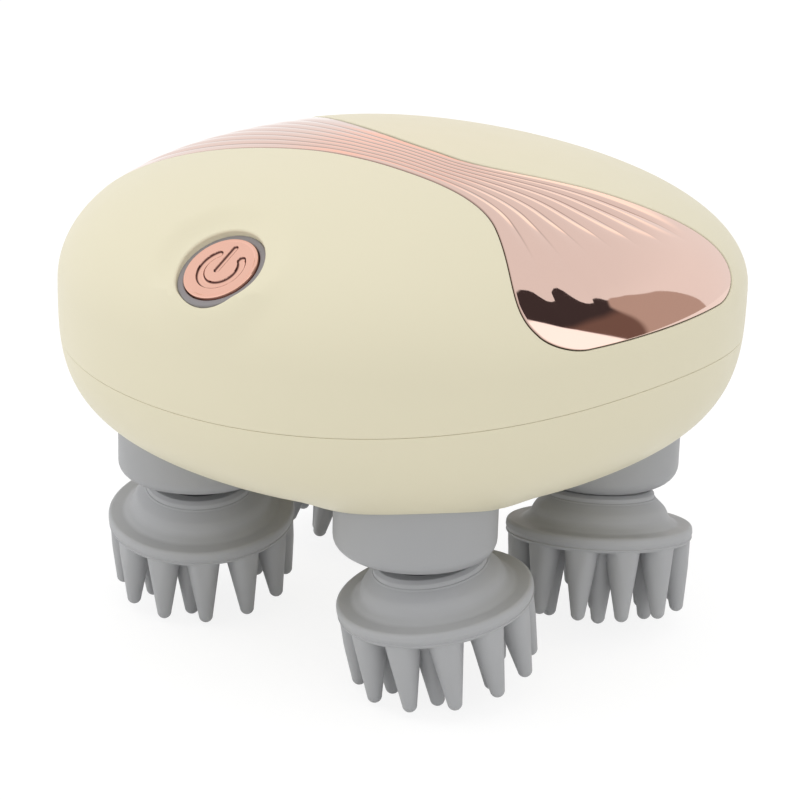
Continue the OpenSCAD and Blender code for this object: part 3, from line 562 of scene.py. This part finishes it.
# ---- Lower shell -----------------------------------
def round_box(w, h, r):
    """Half sizes and corner radius; counter-clockwise seen with x right and y up."""
    n = 8
    a = np.linspace(0, np.pi / 2, n)
    q = np.stack([np.cos(a), np.sin(a)], -1) * r
    out = []
    for k, (sx, sy) in enumerate(((1, 1), (-1, 1), (-1, -1), (1, -1))):
        c, s = np.cos(k * np.pi / 2), np.sin(k * np.pi / 2)
        out.append(q @ np.array([[c, s], [-s, c]]) + [sx * (w - r), sy * (h - r)])
    out = np.concatenate(out)
    # The straight runs get points too, the same number whatever the size.
    full = []
    for i, (a, b) in enumerate(zip(out, np.roll(out, -1, 0))):
        runs = {n - 1: 10, 2 * n - 1: 4, 3 * n - 1: 10, 4 * n - 1: 4}.get(i, 1)
        full += [a + (b - a) * j / runs for j in range(runs)]
    return np.array(full)


def lower_shell():
    skin = Skin()
    t = np.arange(seam_points) * TAU / seam_points
    large, small = circle(large_points), circle(small_points)
    edge = seam_loop(t, 0.0)

    def bore(shape, x, y, r):
        return lambda d, o=0.0: lower_chart(shape[:, 0] * (r + d) + x, shape[:, 1] * (r + d) + y, o)

    def port(d, o=0.0):
        b = round_box(5.1 + d, 2.25 + d, 1.3 + d)
        return lower_chart_z(b[:, 0], b[:, 1] + port_z, o)[::-1]

    up = (0, 0, 1)
    head_r, screw_r = socket_r + 0.06, 2.4
    heads = [bore(large, sx * head_at, sy * head_at, head_r) for sx, sy in corners.values()]
    screws = [bore(small, x, y, screw_r) for x, y in screw_spots]
    cuts = [edge_rings(lower, h, bore_round, -1, 4, up) for h in heads]
    cuts += [edge_rings(lower, s, small_bore_round, -1, 3, up) for s in screws]
    cuts += [edge_rings(lower, port, small_bore_round, -1, 3, (0, -1, 0))]
    seam, seam_rings = edge_rings(lower, lambda d: lower.moved(edge, -d), seam_round, 1, 3)
    m = np.hypot(edge[:, 0], edge[:, 1])
    half = TAU / seam_points / 2
    near_seam = [polar(m - d, t + start) for d, start in ((1.3, half), (2.5, 0), (3.7, half), (4.9, 0))]
    seeds = hexagons(80, 1.35)
    ang = np.arctan2(seeds[:, 1], seeds[:, 0]) % TAU
    seeds = seeds[np.hypot(seeds[:, 0], seeds[:, 1]) < np.interp(ang, t, m, period=TAU) - 5.6]
    seeds = np.concatenate([seeds] + near_seam)
    face_seam, *faces = skin.sheet(lower, 0.0, seam, [loop for loop, _ in cuts], seeds, room=0.7)

    # The inside. The screws' holes run on as bosses, the others go straight through the wall.
    feet = [bore(small, x, y, boss_r) for x, y in screw_spots]
    holes = [hole(0, wall) for hole in heads + feet + [port]]
    inner_seam, *inner = skin.sheet(lower, wall, seam_loop(t, wall), holes, hexagons(80, 3.2), room=1.3)
    skin.bridge(skin.chain(face_seam, seam_rings), inner_seam)
    end, thread_r = joint_z - 2.2, 1.25
    boss = [
        (screw_r, screw_seat_z), (thread_r, screw_seat_z), (thread_r, end), (boss_r - 0.2, end),
        (boss_r, end - 0.2),
    ]
    at_screw = dict(enumerate(screw_spots, len(heads)))
    for i, ((_, rings), outer_loop, inner_loop) in enumerate(zip(cuts, faces, inner)):
        last = skin.chain(outer_loop, rings)
        if i in at_screw:
            last = skin.chain(last, [flat_ring(small, r, z, at_screw[i]) for r, z in boss])
        skin.bridge(last, inner_loop)
    return skin.build("lower_shell_skin")


# ---- Trim strip ------------------------------------
strip_sink, rib_steep = 0.12, 1.35
# Where the smooth mirror at each end begins, from the waist, and over what length the ribs fade.
mirror_front, mirror_slant, mirror_rear, rib_fade = 0.32, 0.12, 0.58, 0.24
tail_share, tail_from, tail_full, tail_length = 0.42, 0.1, 0.7, 0.25
# The valleys' hairlines are painted shade: how dark they get, and over what length they fade.
valley_painted_shade, line_fade = 0.6, 0.2
chart_mm = 1 / 63.0


def past_ribs(u, v, longer=0.0):
    """How far a point lies past the place where the ribs start to fade, which slants in front."""
    front = mirror_front + longer + mirror_slant * (v + 1) / 2
    return np.abs(u - waist_u / 2) - np.where(u > 0, front, mirror_rear)


def rib_sink(u, v):
    """How deep the strip's face lies below the dome, with the ribs' scallops. They fade out into the
    smooth mirror at either end, with a long tail on the side of the button, and the outermost half
    ribs stay flat. In a narrow part they are shallower."""
    f = (v + 1) / 2 * rib_count
    k = 2 * (f - np.floor(np.minimum(f, rib_count - 1e-6))) - 1
    k = np.where((f < 0.5) | (f > rib_count - 0.5), 0, k)
    past = past_ribs(u, v)
    tail = tail_share * smooth((-v - tail_from) / tail_full)
    tail = tail * (1 - smooth((past - tail_length) / tail_length))
    live = (1 - smooth(past / rib_fade)) * (1 - tail)
    scallop = live * k * k + tail * (0.75 * np.sin(k * np.pi / 2) ** 2 + 0.25 * k * k)
    return strip_sink + np.minimum(rib_depth, rib_steep * half_width(u)) * scallop


def rib_painted_shade(u, v):
    """How dark the painted shade line in a valley is, fading to its ends."""
    f = (v + 1) / 2 * rib_count
    away = np.abs(f - np.round(f))
    away = np.where((np.round(f) < 0.5) | (np.round(f) > rib_count - 0.5), 1, away)
    # Its half width is a share of a rib, larger where the ribs are narrow.
    wide = 0.02 + 0.1 / (15 * np.maximum(half_width(u), 0.05))
    line = np.clip(1 - away / wide, 0, 1) ** 0.7
    return valley_painted_shade * line * (1 - smooth(past_ribs(u, v, 0.02) / line_fade))


def trim_strip():
    skin = Skin()
    gap = strip_gap / body_r / field_r
    edge_r = 0.36
    floor_depth = groove_depth - 0.05
    # The points across crowd together in the valleys between the ribs.
    x = np.linspace(-1, 1, 13)[:-1]
    v = [2 * (i + (np.sin(x * np.pi / 2) + 1) / 2) / rib_count - 1 for i in range(rib_count)]
    U, V = np.meshgrid(along, np.append(np.concatenate(v), 1.0))
    spots = np.arange(U.size).reshape(U.shape)
    border = np.concatenate([spots[0, :-1], spots[:-1, -1], spots[-1, :0:-1], spots[:0:-1, 0]])
    inner = spots[1:-1, 1:-1].reshape(-1)
    ribs = rib_sink(U, V).reshape(-1)

    def layer(inset, depth):
        """The strip's points, its edge drawn in by inset and all sunk by depth."""
        P = strip_chart(U, V, gap + inset * chart_mm).reshape(-1, 2)
        return upper.at(P) - upper.normal(P) * np.reshape(depth, (-1, 1))

    # The ribs' valleys get lines of painted shade.
    ids = skin.add(layer(edge_r, ribs))
    skin.tint(ids, rib_painted_shade(U, V))
    skin.grid(ids.reshape(U.shape))
    ring = ids[border]
    # The rounded edge darkens step by step towards the side: a painted shadow line at the gap round the
    # strip.
    for th in np.linspace(0, np.pi / 2, 5)[1:]:
        rounded = layer(edge_r * (1 - np.sin(th)), ribs + edge_r * (1 - np.cos(th)))
        ring = skin.chain(ring, [rounded[border]])
        skin.tint(ring, np.full(len(ring), smooth(th / 1.4)))
    # The underside follows the groove's floor.
    floor = layer(0, floor_depth)
    ring = skin.chain(ring, [floor[border]])
    # The strip's side is painted shade all over.
    skin.tint(ring, np.ones(len(ring)))
    under = np.empty(U.size, int)
    under[border], under[inner] = ring, skin.add(floor[inner])
    skin.grid(under.reshape(U.shape))
    return skin.build("trim_strip_plate", 70)


# ---- Button ----------------------------------------
symbol_r, symbol_gap, symbol_sink = 3.55, np.radians(44), 0.5
symbol_half, symbol_edge, symbol_edge_w = 0.78, 0.84, 0.16
bar_foot, bar_top, bar_thinner = np.array([-0.5, -0.4]), np.array([-0.4, 4.4]), 0.18
face_z = -0.22


def symbol_depth(p):
    """Depth of the power symbol's groove in the cap's face: a bar in the gap of an arc."""
    x, y = p[..., 0], p[..., 1]
    run = bar_top - bar_foot
    f = np.clip(((x - bar_foot[0]) * run[0] + (y - bar_foot[1]) * run[1]) / (run @ run), 0, 1)
    bar = np.hypot(x - bar_foot[0] - f * run[0], y - bar_foot[1] - f * run[1])
    end_x, end_y = symbol_r * np.sin(symbol_gap), symbol_r * np.cos(symbol_gap)
    ends = np.minimum(np.hypot(x + end_x, y - end_y), np.hypot(x - end_x, y - end_y))
    arc = np.where(np.abs(np.arctan2(x, y)) > symbol_gap, np.abs(np.hypot(x, y) - symbol_r), ends)
    d = np.minimum(bar + bar_thinner, arc)
    trough = np.sqrt(np.clip(1 - (d / symbol_half) ** 2, 0, 1))
    return symbol_sink * trough * smooth((symbol_edge - d) / symbol_edge_w)


def symbol_painted_shade(p):
    """Painted shade: dark on the groove's walls, brighter on its floor."""
    depth = symbol_depth(p) / symbol_sink
    return smooth(depth / 0.3) * (1 - smooth((depth - 0.62) / 0.25))


def heightfield(skin, radius, step, height, n, place, painted_shade=None):
    """A disc whose height follows a function; gives its border ring."""
    pts, tris, _ = triangulate(circle(n, radius), [], hexagons(radius, step), step * 0.5)
    e = 0.01
    gx = (height(pts + [e, 0]) - height(pts - [e, 0])) / (2 * e)
    gy = (height(pts + [0, e]) - height(pts - [0, e])) / (2 * e)
    N = unit(np.stack([-gx, -gy, np.ones_like(gx)], -1))
    ids = skin.add(place(np.column_stack([pts, height(pts)])), place(N) - place(np.zeros((1, 3))))
    skin.faces += ids[tris].tolist()
    # The optional painted shade.
    if painted_shade:
        skin.tint(ids, painted_shade(pts))
    return ids[:n]


def power_button():
    skin = Skin()
    face_r, lip_z, foot_z = button_r - 0.75, -3.95, -5.9
    # The cap's face carries the symbol's groove and its painted shade.
    ring = heightfield(
        skin, face_r, 0.085, lambda p: face_z - symbol_depth(p), large_points, at_button, symbol_painted_shade
    )
    shape = [
        (face_r, face_z), (face_r + 0.12, -0.2, 0.1), (face_r + 0.3, -0.1, 0.12), (button_r, -0.1, 0.3),
        (button_r, lip_z, 0.05), (button_r + 0.7, lip_z, 0.1), (button_r + 0.7, lip_z - 0.8, 0.1),
        (2, lip_z - 0.8, 0.3), (2, foot_z, 0.2), (0, foot_z),
    ]
    # Walked from the face down, so on the axis's other side, where the material is on the left.
    pts, nrm = profile([(-r, *rest) for r, *rest in shape], 4)
    c = circle(large_points)
    for (r, z), (nr, nz) in zip(pts[1:-1], nrm[1:-1]):
        normals = at_button(flat_ring(c, -nr, nz)) - button_at if nr or nz else None
        ring = skin.chain(ring, [(at_button(flat_ring(c, -r, z)), normals)])
    skin.fan(ring, at_button([[0, 0, foot_z]]))
    return skin.build("power_button_cap")


def button_ring():
    skin = Skin()
    a, b, low, high = button_r + 0.1, button_hole_r - 0.05, -3.9, -0.6
    shape = [(a, low, 0.1), (b, low, 0.1), (b, high, 0.25), (a, high, 0.25), (a, low, 0.1)]
    revolve(skin, shape, large_points, 4, at_button)
    return skin.build("button_ring_soft")


# ---- Sockets and claws -----------------------------
def head_socket():
    skin = Skin()
    h, inner_r, floor = base_z - socket_z, socket_r - socket_wall, 2.4
    hole_r, seal_r, seal_h, bush_r, bush_h = 4.0, 5.05, 1.4, 6, 7.4
    shape = [
        (hole_r, seal_h), (seal_r, seal_h), (seal_r, 0, 0.2), (socket_r, 0, 2.6), (socket_r, h, 0.3),
        (inner_r, h, 0.3), (inner_r, floor, 0.6), (bush_r, floor, 0.4), (bush_r, bush_h, 0.3),
        (hole_r, bush_h),
    ]
    revolve(skin, shape, 144, 7, closed=True)
    return skin.build("head_socket_shape")


def finger(length, ring_r, splay, turn_by):
    """One finger with a flared root, leaning outwards at its place in its ring."""
    root_r, root_z, tip_z = finger_r - 0.05, -0.85, tip_r - length
    rows = [(finger_r + 0.75, 1.1), (finger_r + 0.62, 0.6)]
    rows += [(root_r + 0.465 * (1 - f) ** 2, 0.45 - f * 1.3) for f in np.arange(1, 6) / 5]
    rows += [(root_r * (1 - f) + tip_r * f, root_z * (1 - f) + tip_z * f) for f in np.linspace(0, 1, 9)[1:]]
    rows += [(tip_r * np.cos(a), tip_z - tip_r * np.sin(a)) for a in np.linspace(0, np.pi / 2, 7)[1:-1]]
    skin = Skin()
    c = circle(28)
    skin.column([flat_ring(c, r, z) for r, z in rows], [[0, 0, rows[0][1]]], [[0, 0, -length]])
    x, y, z = np.concatenate(skin.points).T
    x, z = x * np.cos(splay) - z * np.sin(splay) + ring_r, x * np.sin(splay) + z * np.cos(splay)
    # The roots stay inside the rim's edge.
    r, limit = np.hypot(x, y), rim_r - 0.3
    k = np.where(r > limit, limit / np.maximum(r, 1e-9), 1)
    x, y = x * k, y * k
    a = np.radians(turn_by + ring_turn)
    skin.points = [np.column_stack([x * np.cos(a) - y * np.sin(a), x * np.sin(a) + y * np.cos(a), z])]
    return skin.build("finger")


def massage_claw():
    """In the claw's own frame: the foot of the rim is at z = 0 and the fingers point down."""
    skin = Skin()
    neck_z, hub_z = claw_h + 0.32, claw_h - hub_len
    shape = [
        (0, 0), (rim_r - 0.5, 0, 0.3), (rim_r - 0.12, 0.45, 0.15), (rim_r - 0.04, 0.62, 0.05),
        (rim_r - 0.22, 0.74, 0.08), (rim_r, 1.45, 0.5), (rim_r - 0.1, rim_h, 1.15),
        (neck_foot_r + 1.7, rim_h + 0.1, 1.5), (neck_foot_r + 0.2, rim_h + 1.1, 2.0),
        (neck_foot_r - 0.35, rim_h + 2.7, 4), (neck_r + 0.05, claw_h - 1.3, 0.5),
        (neck_r - 0.1, claw_h - 1.05, 0.12), (neck_r - 0.28, claw_h - 1.0, 0.1),
        (neck_r - 0.34, claw_h - 0.3, 0.4), (neck_r - 0.95, neck_z, 0.4),
        (hub_r, neck_z, 0.3), (hub_r, hub_z), (0, hub_z),
    ]
    revolve(skin, shape, 128, 5)
    main = skin.build("massage_claw_shape")
    # A hair shorter than in the part, so that they stay inside its size.
    outer_l, inner_l = outer_len - 0.03, inner_len - 0.03
    step = 360 / outer_count
    fingers = [finger(outer_l, outer_ring_r, finger_splay, step * (i + 0.5)) for i in range(outer_count)]
    fingers += [finger(inner_l, inner_ring_r, 0, 360 * i / inner_count) for i in range(inner_count)]
    fingers += [finger(inner_l, 0, 0, 0)]
    group = bpy.data.collections.new("fingers")
    for f in fingers:
        group.objects.link(f)
    join = main.modifiers.new("join", "BOOLEAN")
    join.operation, join.operand_type, join.collection, join.solver = "UNION", "COLLECTION", group, "EXACT"
    join.use_self = False
    bpy.context.view_layer.update()
    mesh = bpy.data.meshes.new_from_object(main.evaluated_get(bpy.context.evaluated_depsgraph_get()))
    for obj in fingers + [main]:
        bpy.data.objects.remove(obj)
    bpy.data.collections.remove(group)
    bm = bmesh.new()
    bm.from_mesh(mesh)
    bmesh.ops.remove_doubles(bm, verts=bm.verts, dist=1e-6)
    bmesh.ops.dissolve_degenerate(bm, edges=bm.edges, dist=1e-6)
    bm.to_mesh(mesh)
    bm.free()
    mesh.shade_smooth()
    mesh.set_sharp_from_angle(angle=np.radians(42))
    return mesh


# ---- Small parts under the belly -------------------
def screws():
    """Cross-headed screws in the lower shell's bosses, with domed heads."""
    skin = Skin()
    n = 48
    arm_length, arm_half, head_r, dome, cross_depth = 1.15, 0.22, 2.1, 0.18, 0.8

    def recess(p):
        a, b = np.abs(p[:, 0]), np.abs(p[:, 1])
        arm = np.minimum(np.maximum(a - arm_length, b - arm_half), np.maximum(b - arm_length, a - arm_half))
        sunk = dome * (1 - (np.hypot(p[:, 0], p[:, 1]) / head_r) ** 2)
        return -1.2 - sunk + cross_depth * smooth((0.08 - arm) / 0.16)

    shape = ((2.08, -1.1), (head_r, -0.9), (head_r, 0.0), (1.1, 0.0), (1.1, 16.0), (0.5, 17.2))
    for x, y in screw_spots:
        seat = np.array([x, y, screw_seat_z])
        ring = heightfield(skin, 2.0, 0.1, recess, n, lambda p: p + seat)
        last = skin.chain(ring, [flat_ring(circle(n), r, z) + seat for r, z in shape])
        skin.fan(last, seat + [[0, 0, 17.6]])
    return skin.build("housing_screw_set", 30)


def charge_port():
    """A rounded metal mouth with a tongue in its middle, open towards +Y."""
    skin = Skin()
    back, mouth = (corner.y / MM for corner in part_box("charge_socket"))
    shell = [
        (4.9, 2.05, 1.2, back), (4.99, 2.14, 1.25, back + 0.1), (4.99, 2.14, 1.25, mouth - 0.12),
        (4.9, 2.05, 1.2, mouth), (4.55, 1.7, 0.95, mouth), (4.45, 1.6, 0.9, mouth - 0.12),
        (4.45, 1.6, 0.9, back + 1),
    ]
    tongue = [
        (3.3, 0.35, 0.3, back + 0.9), (3.3, 0.35, 0.3, mouth - 1.1), (3.2, 0.25, 0.2, mouth - 0.95),
    ]
    for rows in (shell, tongue):
        rings = []
        for w, h, r, y in rows:
            b = round_box(w, h, r)
            rings.append(np.column_stack([b[:, 0], np.full(len(b), y), b[:, 1] + port_z]))
        skin.column(rings, [[0, rows[0][3], port_z]], [[0, rows[-1][3], port_z]])
    return skin.build("charge_port_mouth", 35)


# ---- Materials -------------------------------------
class Nodes:
    """Makes nodes in the tree of a material or of the world."""

    def __init__(self, owner):
        owner.use_nodes = True
        self.tree = owner.node_tree

    def feed(self, node, inputs):
        """Inputs by name or number: sockets are linked, numbers and colours are set."""
        for key, value in inputs.items():
            socket = node.inputs[key]
            if isinstance(value, bpy.types.NodeSocket):
                self.tree.links.new(value, socket)
            else:
                socket.default_value = (*value, 1) if socket.type == "RGBA" else value

    def add(self, kind, inputs=None, **settings):
        node = self.tree.nodes.new("ShaderNode" + kind)
        for key, value in settings.items():
            setattr(node, key, value)
        self.feed(node, inputs or {})
        return node.outputs

    def math(self, operation, *values):
        return self.add("Math", dict(enumerate(values)), operation=operation)[0]

    def product(self, *values):
        first, *rest = values
        return self.math("MULTIPLY", first, self.product(*rest)) if rest else first

    def ramp(self, value, low, high, to_low=0.0, to_high=1.0):
        """A smooth step from to_low at low to to_high at high."""
        ends = {"From Min": low, "From Max": high, "To Min": to_low, "To Max": to_high}
        return self.add("MapRange", {"Value": value, **ends}, interpolation_type="SMOOTHSTEP")["Result"]

    def band(self, value, start, full, full_end, end):
        """1 between full and full_end, falling to 0 at start and end."""
        return self.product(self.ramp(value, start, full), self.ramp(value, end, full_end))

    def mix_colour(self, factor, a, b):
        # Of the Mix node's sockets, 6, 7 and output 2 are the ones for colours.
        return self.add("Mix", {0: factor, 6: a, 7: b}, data_type="RGBA")[2]

    def mix_shader(self, factor, a, b):
        return self.add("MixShader", {0: factor, 1: a, 2: b})[0]


def linear(rgb):
    c = np.array(rgb, float) / 255
    return np.where(c <= 0.04045, c / 12.92, ((c + 0.055) / 1.055) ** 2.4)


def material(name, rgb, rough, vary, grain=None, painted_shade_rgb=None, **sockets):
    """Two close shades mixed by a noise, an uneven roughness and, with grain, a fine relief.
    vary is the colour's spread, the noise's scale and the roughness's spread; grain is a strength
    and a scale. Given a darker colour, the mesh's painted shade carries the colour over to that darker one."""
    m = bpy.data.materials.new(name)
    look = Nodes(m)
    shader = look.tree.nodes["Principled BSDF"]
    place = look.add("TexCoord")["Object"]
    spread, scale, rough_spread = vary

    def noise(size, detail):
        return look.add("TexNoise", {"Vector": place, "Scale": size, "Detail": detail})["Fac"]

    pale, deep = (np.clip(linear(rgb) * (1 + s), 0, 1) for s in (spread, -spread))
    colour = look.mix_colour(noise(scale, 3), deep, pale)
    # Painted shade: where the mesh's shade is up, the colour goes over to the darker one.
    if painted_shade_rgb:
        painted_shade = look.add("VertexColor", layer_name="painted_shade")["Color"]
        colour = look.mix_colour(painted_shade, colour, linear(painted_shade_rgb))
    span = {
        "Value": noise(scale * 4, 2), "From Min": 0.3, "From Max": 0.7,
        "To Min": max(rough - rough_spread, 0), "To Max": min(rough + rough_spread, 1),
    }
    look.feed(shader, {"Base Color": colour, "Roughness": look.add("MapRange", span)["Result"]})
    if grain:
        bump = {"Strength": grain[0], "Distance": 0.05 * MM, "Height": noise(grain[1], 2)}
        look.feed(shader, {"Normal": look.add("Bump", bump)["Normal"]})
    look.feed(shader, {key.replace("_", " "): value for key, value in sockets.items()})
    return m


cream = material(
    "cream_soft_touch", (226, 219, 192), 0.42, (0.012, 40, 0.03), (0.25, 5000), Specular_IOR_Level=0.35
)
# The plate's darker colour is painted shade: the valleys' hairlines and the strip's edge.
rose = material(
    "rose_gold_plate", (236, 205, 192), 0.04, (0.015, 120, 0.012), painted_shade_rgb=(66, 48, 42), Metallic=1.0
)
# The cap's darker colour is painted shade in the symbol's groove.
rose_cap = material(
    "rose_gold_cap", (252, 200, 180), 0.08, (0.02, 200, 0.02), painted_shade_rgb=(84, 52, 46), Metallic=1.0
)
socket_grey = material("grey_socket_plastic", (166, 167, 169), 0.5, (0.02, 80, 0.05), (0.3, 5000))
claw_grey = material("grey_silicone", (173, 174, 176), 0.55, (0.03, 90, 0.06), (0.35, 4500))
rubber = material("dark_rubber", (58, 58, 60), 0.7, (0.06, 150, 0.06), (0.3, 4000))
ring_grey = material("grey_ring_rubber", (140, 136, 137), 0.6, (0.04, 150, 0.05), (0.3, 4000))
nylon = material("white_nylon", (232, 231, 224), 0.45, (0.02, 120, 0.05), (0.2, 3000))
hub_dark = material("hub_plastic", (92, 93, 95), 0.5, (0.04, 150, 0.05), (0.2, 3000))
steel = material("ground_steel", (196, 198, 202), 0.22, (0.03, 300, 0.06), (0.2, 6000), Metallic=1.0)
bronze = material("sintered_bronze", (186, 140, 92), 0.38, (0.08, 500, 0.08), (0.4, 6000), Metallic=1.0)
can_steel = material("plated_can", (206, 206, 204), 0.28, (0.02, 200, 0.05), (0.1, 5000), Metallic=1.0)
wrap = material("cell_wrap", (60, 104, 160), 0.35, (0.04, 80, 0.05), (0.1, 3000))
board_green = material("board_green", (34, 84, 58), 0.4, (0.08, 400, 0.08), (0.2, 4000))
shell_grey = material("switch_shell", (70, 70, 72), 0.45, (0.05, 300, 0.05), (0.2, 4000))
port_steel = material("port_steel", (188, 188, 190), 0.25, (0.03, 300, 0.05), (0.1, 5000), Metallic=1.0)


def paint(obj, mat):
    obj.data.materials.clear()
    obj.data.materials.append(mat)


def piece(obj, mat, body, replaced):
    """Paints a piece, says what it rides on, and hides the node it stands for."""
    paint(obj, mat)
    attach(obj, body)
    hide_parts(replaced)


def each_head(name):
    return [name + key for key in corners]


# The nodes that stay as they are, all of them inside.
for names, mat in (
    (["sealing_band", "shaft_seals"], rubber),
    (["switch_plunger", "tact_switch"], shell_grey),
    (["circuit_board"], board_green),
    (each_head("claw_hub_"), hub_dark),
    (each_head("head_shaft_") + ["sun_axle", "idler_axle", "motor_shaft"], steel),
    (each_head("head_gear_") + ["sun_gear", "idler_gear"], nylon),
    (["gearbox_base", "gearbox_top", "gearbox_pillars", "battery_cradle"], nylon),
    (["socket_bushes", "plate_bushes", "motor_pinion"], bronze),
    (["motor_can"], can_steel),
    (["battery"], wrap),
):
    for name in names:
        paint(nodes[name], mat)

piece(upper_shell(), cream, "housing", "upper_shell")
piece(lower_shell(), cream, "housing", "lower_shell")
piece(trim_strip(), rose, "housing", "trim_strip")
piece(button_ring(), ring_grey, "housing", "button_ring")
piece(power_button(), rose_cap, "power_button", "power_button")
piece(screws(), steel, "housing", "housing_screws")
piece(charge_port(), port_steel, "housing", "charge_socket")


def shift(x, y, z):
    return Matrix.Translation(Vector((x, y, z)) * MM)


socket_shape = head_socket()
claw_mesh = massage_claw()
for key, (sx, sy) in corners.items():
    socket = show("head_socket_" + key + "_shape", socket_shape.data)
    socket.matrix_world = shift(sx * head_at, sy * head_at, socket_z)
    piece(socket, socket_grey, "housing", "head_socket_" + key)
    claw = show("massage_claw_" + key + "_shape", claw_mesh.copy())
    pivot = shift(sx * head_at, sy * head_at, socket_z + claw_pivot)
    lean = Matrix.Rotation(np.radians(leans[key]), 4, "Z") @ Matrix.Rotation(claw_tilt, 4, "Y")
    claw.data.transform(pivot @ lean @ shift(0, 0, -(claw_top + claw_h)))
    piece(claw, claw_grey, "head_" + key, "massage_claw_" + key)
bpy.data.objects.remove(socket_shape)
bpy.data.meshes.remove(claw_mesh)

# ---- The world -------------------------------------
# Polished metal mirrors the photographer's white tent: paler low down, with bright panels, a warm
# wall and the tent's open side, through which the room shows. Everything else sees plain white.
# Angles are in degrees: round_at from +X towards +Y, and up_at upwards from the horizon.
world = bpy.data.worlds.new("studio")
bpy.context.scene.world = world
sky = Nodes(world)
sky.tree.nodes.clear()
way = sky.add("SeparateXYZ", {0: sky.add("TexCoord")["Generated"]})
round_at = sky.product(sky.math("ARCTAN2", way[1], way[0]), 180 / np.pi)
up_at = sky.product(sky.math("ARCSINE", way[2]), 180 / np.pi)
tent = sky.mix_colour(sky.ramp(up_at, 22, 44), (0.95, 0.94, 0.94), (0.87, 0.86, 0.86))
for up_band, round_band, colour in (
    ((20, 26, 28, 34), (94, 104, 118, 124), (1.36, 1.24, 1.12)),  # the far panel
    ((8, 14, 23, 27), (119, 124, 133, 138), (1.16, 0.86, 0.76)),  # the warm wall behind it
):
    panel = sky.product(sky.band(up_at, *up_band), sky.band(round_at, *round_band))
    tent = sky.mix_colour(panel, tent, colour)

# The near panel ends, and the opening starts, at a slanting line. The opening's top is wavy.
past_side = sky.math("SUBTRACT", round_at, sky.math("SUBTRACT", 39.6, sky.product(up_at, 0.55)))
near_panel = sky.product(sky.ramp(up_at, 40, 36), sky.ramp(round_at, -8, 6), sky.ramp(past_side, 2, 0))
tent = sky.mix_colour(near_panel, tent, (1.4, 1.4, 1.4))
open_top = sky.math("ADD", sky.ramp(round_at, 43, 50, 56, 33), sky.ramp(round_at, 52, 62, 0, -8))
open_top = sky.math("ADD", open_top, sky.ramp(round_at, 61, 71, 0, -35))
below_top = sky.ramp(sky.math("SUBTRACT", open_top, up_at), -0.6, 0.6)
opening = sky.product(sky.ramp(past_side, -0.6, 0.6), below_top, sky.ramp(past_side, 60, 58))
near_room = sky.mix_colour(sky.ramp(up_at, 21, 29), (0.19, 0.12, 0.10), (0.055, 0.043, 0.045))
room_edge = sky.math("ADD", round_at, sky.ramp(up_at, 28, 38, 0, -7))
room = sky.mix_colour(sky.ramp(room_edge, 45, 47.5), near_room, (0.54, 0.43, 0.38))
tent = sky.mix_colour(opening, tent, room)

rays = sky.add("LightPath")
soft, mirrored, plain = (
    sky.add("Background", {"Color": colour, "Strength": strength})[0]
    for colour, strength in (((1, 1, 1), 0.89), (tent, 1.0), ((1, 1, 1), 1.0))
)
direct = sky.math("MAXIMUM", rays["Is Camera Ray"], rays["Is Transmission Ray"])
light = sky.mix_shader(direct, sky.mix_shader(rays["Is Glossy Ray"], soft, mirrored), plain)
sky.add("OutputWorld", {"Surface": light})

# ---- The floor: matt for the light that falls on it, and almost white where it is seen ----
floor_mat = bpy.data.materials.new("pale_floor")
ground = Nodes(floor_mat)
ground.tree.nodes.clear()
rays = ground.add("LightPath")
seen = ground.math("MAXIMUM", rays["Is Camera Ray"], rays["Is Glossy Ray"])
seen = ground.math("MAXIMUM", seen, rays["Is Transmission Ray"])
matt, faint = (ground.add("BsdfDiffuse", {"Color": (grey, grey, grey)})[0] for grey in (0.86, 0.2))
glow = ground.add("AddShader", {0: faint, 1: ground.add("Emission", {"Strength": 0.85})[0]})[0]
ground.add("OutputMaterial", {"Surface": ground.mix_shader(seen, matt, glow)})
half = 4
square = [(-half, -half, 0), (half, -half, 0), (half, half, 0), (-half, half, 0)]
floor_mesh = bpy.data.meshes.new("floor")
floor_mesh.from_pydata(square, [], [(0, 1, 2, 3)])
floor_mesh.materials.append(floor_mat)
show("floor", floor_mesh)


# ---- Lamps and camera ------------------------------
def lamp(name, at, target, width, depth, watts):
    light = bpy.data.lights.new(name, "AREA")
    light.shape, light.size, light.size_y, light.energy = "RECTANGLE", width, depth, watts
    obj = show(name, light)
    obj.location = at
    obj.rotation_euler = (Vector(target) - Vector(at)).to_track_quat("-Z", "Y").to_euler()
    obj.visible_glossy = False


lamp("top_softbox", (0.05, -0.15, 0.95), (0, 0, 0.05), 0.9, 0.9, 1.6)
lamp("left_fill", (-0.95, -0.6, 0.35), (0, 0, 0.04), 0.8, 0.7, 1.9)

# The camera as fitted to the photo: its direction and roll, and its place over the point midway
# between the sockets at their lowest level, in millimetres.
view_round, view_up, roll = np.radians([40.51, 18.76, 1.67])
distance, eye_right, eye_up = 486.06, 0.0732, 12.857
level_x = np.array([np.cos(view_round), np.sin(view_round), 0])
level_back = np.array([np.sin(view_round), -np.cos(view_round), 0])
view = level_back * np.cos(view_up) + np.array([0, 0, np.sin(view_up)])
level_y = np.cross(view, level_x)
right = level_x * np.cos(roll) + level_y * np.sin(roll)
up = level_y * np.cos(roll) - level_x * np.sin(roll)
eye = (view * distance + right * eye_right + up * eye_up + np.array([0, 0, socket_z])) * MM
data = bpy.data.cameras.new("photo_view")
data.sensor_width, data.lens = 36, 122.49
data.clip_start, data.clip_end = 0.02, 50
camera = show("photo_view", data)
turned = np.column_stack([right, up, view, eye])
camera.matrix_world = Matrix([*turned.tolist(), [0, 0, 0, 1]])
bpy.context.scene.camera = camera
bpy.context.scene.view_settings.view_transform = "Standard"
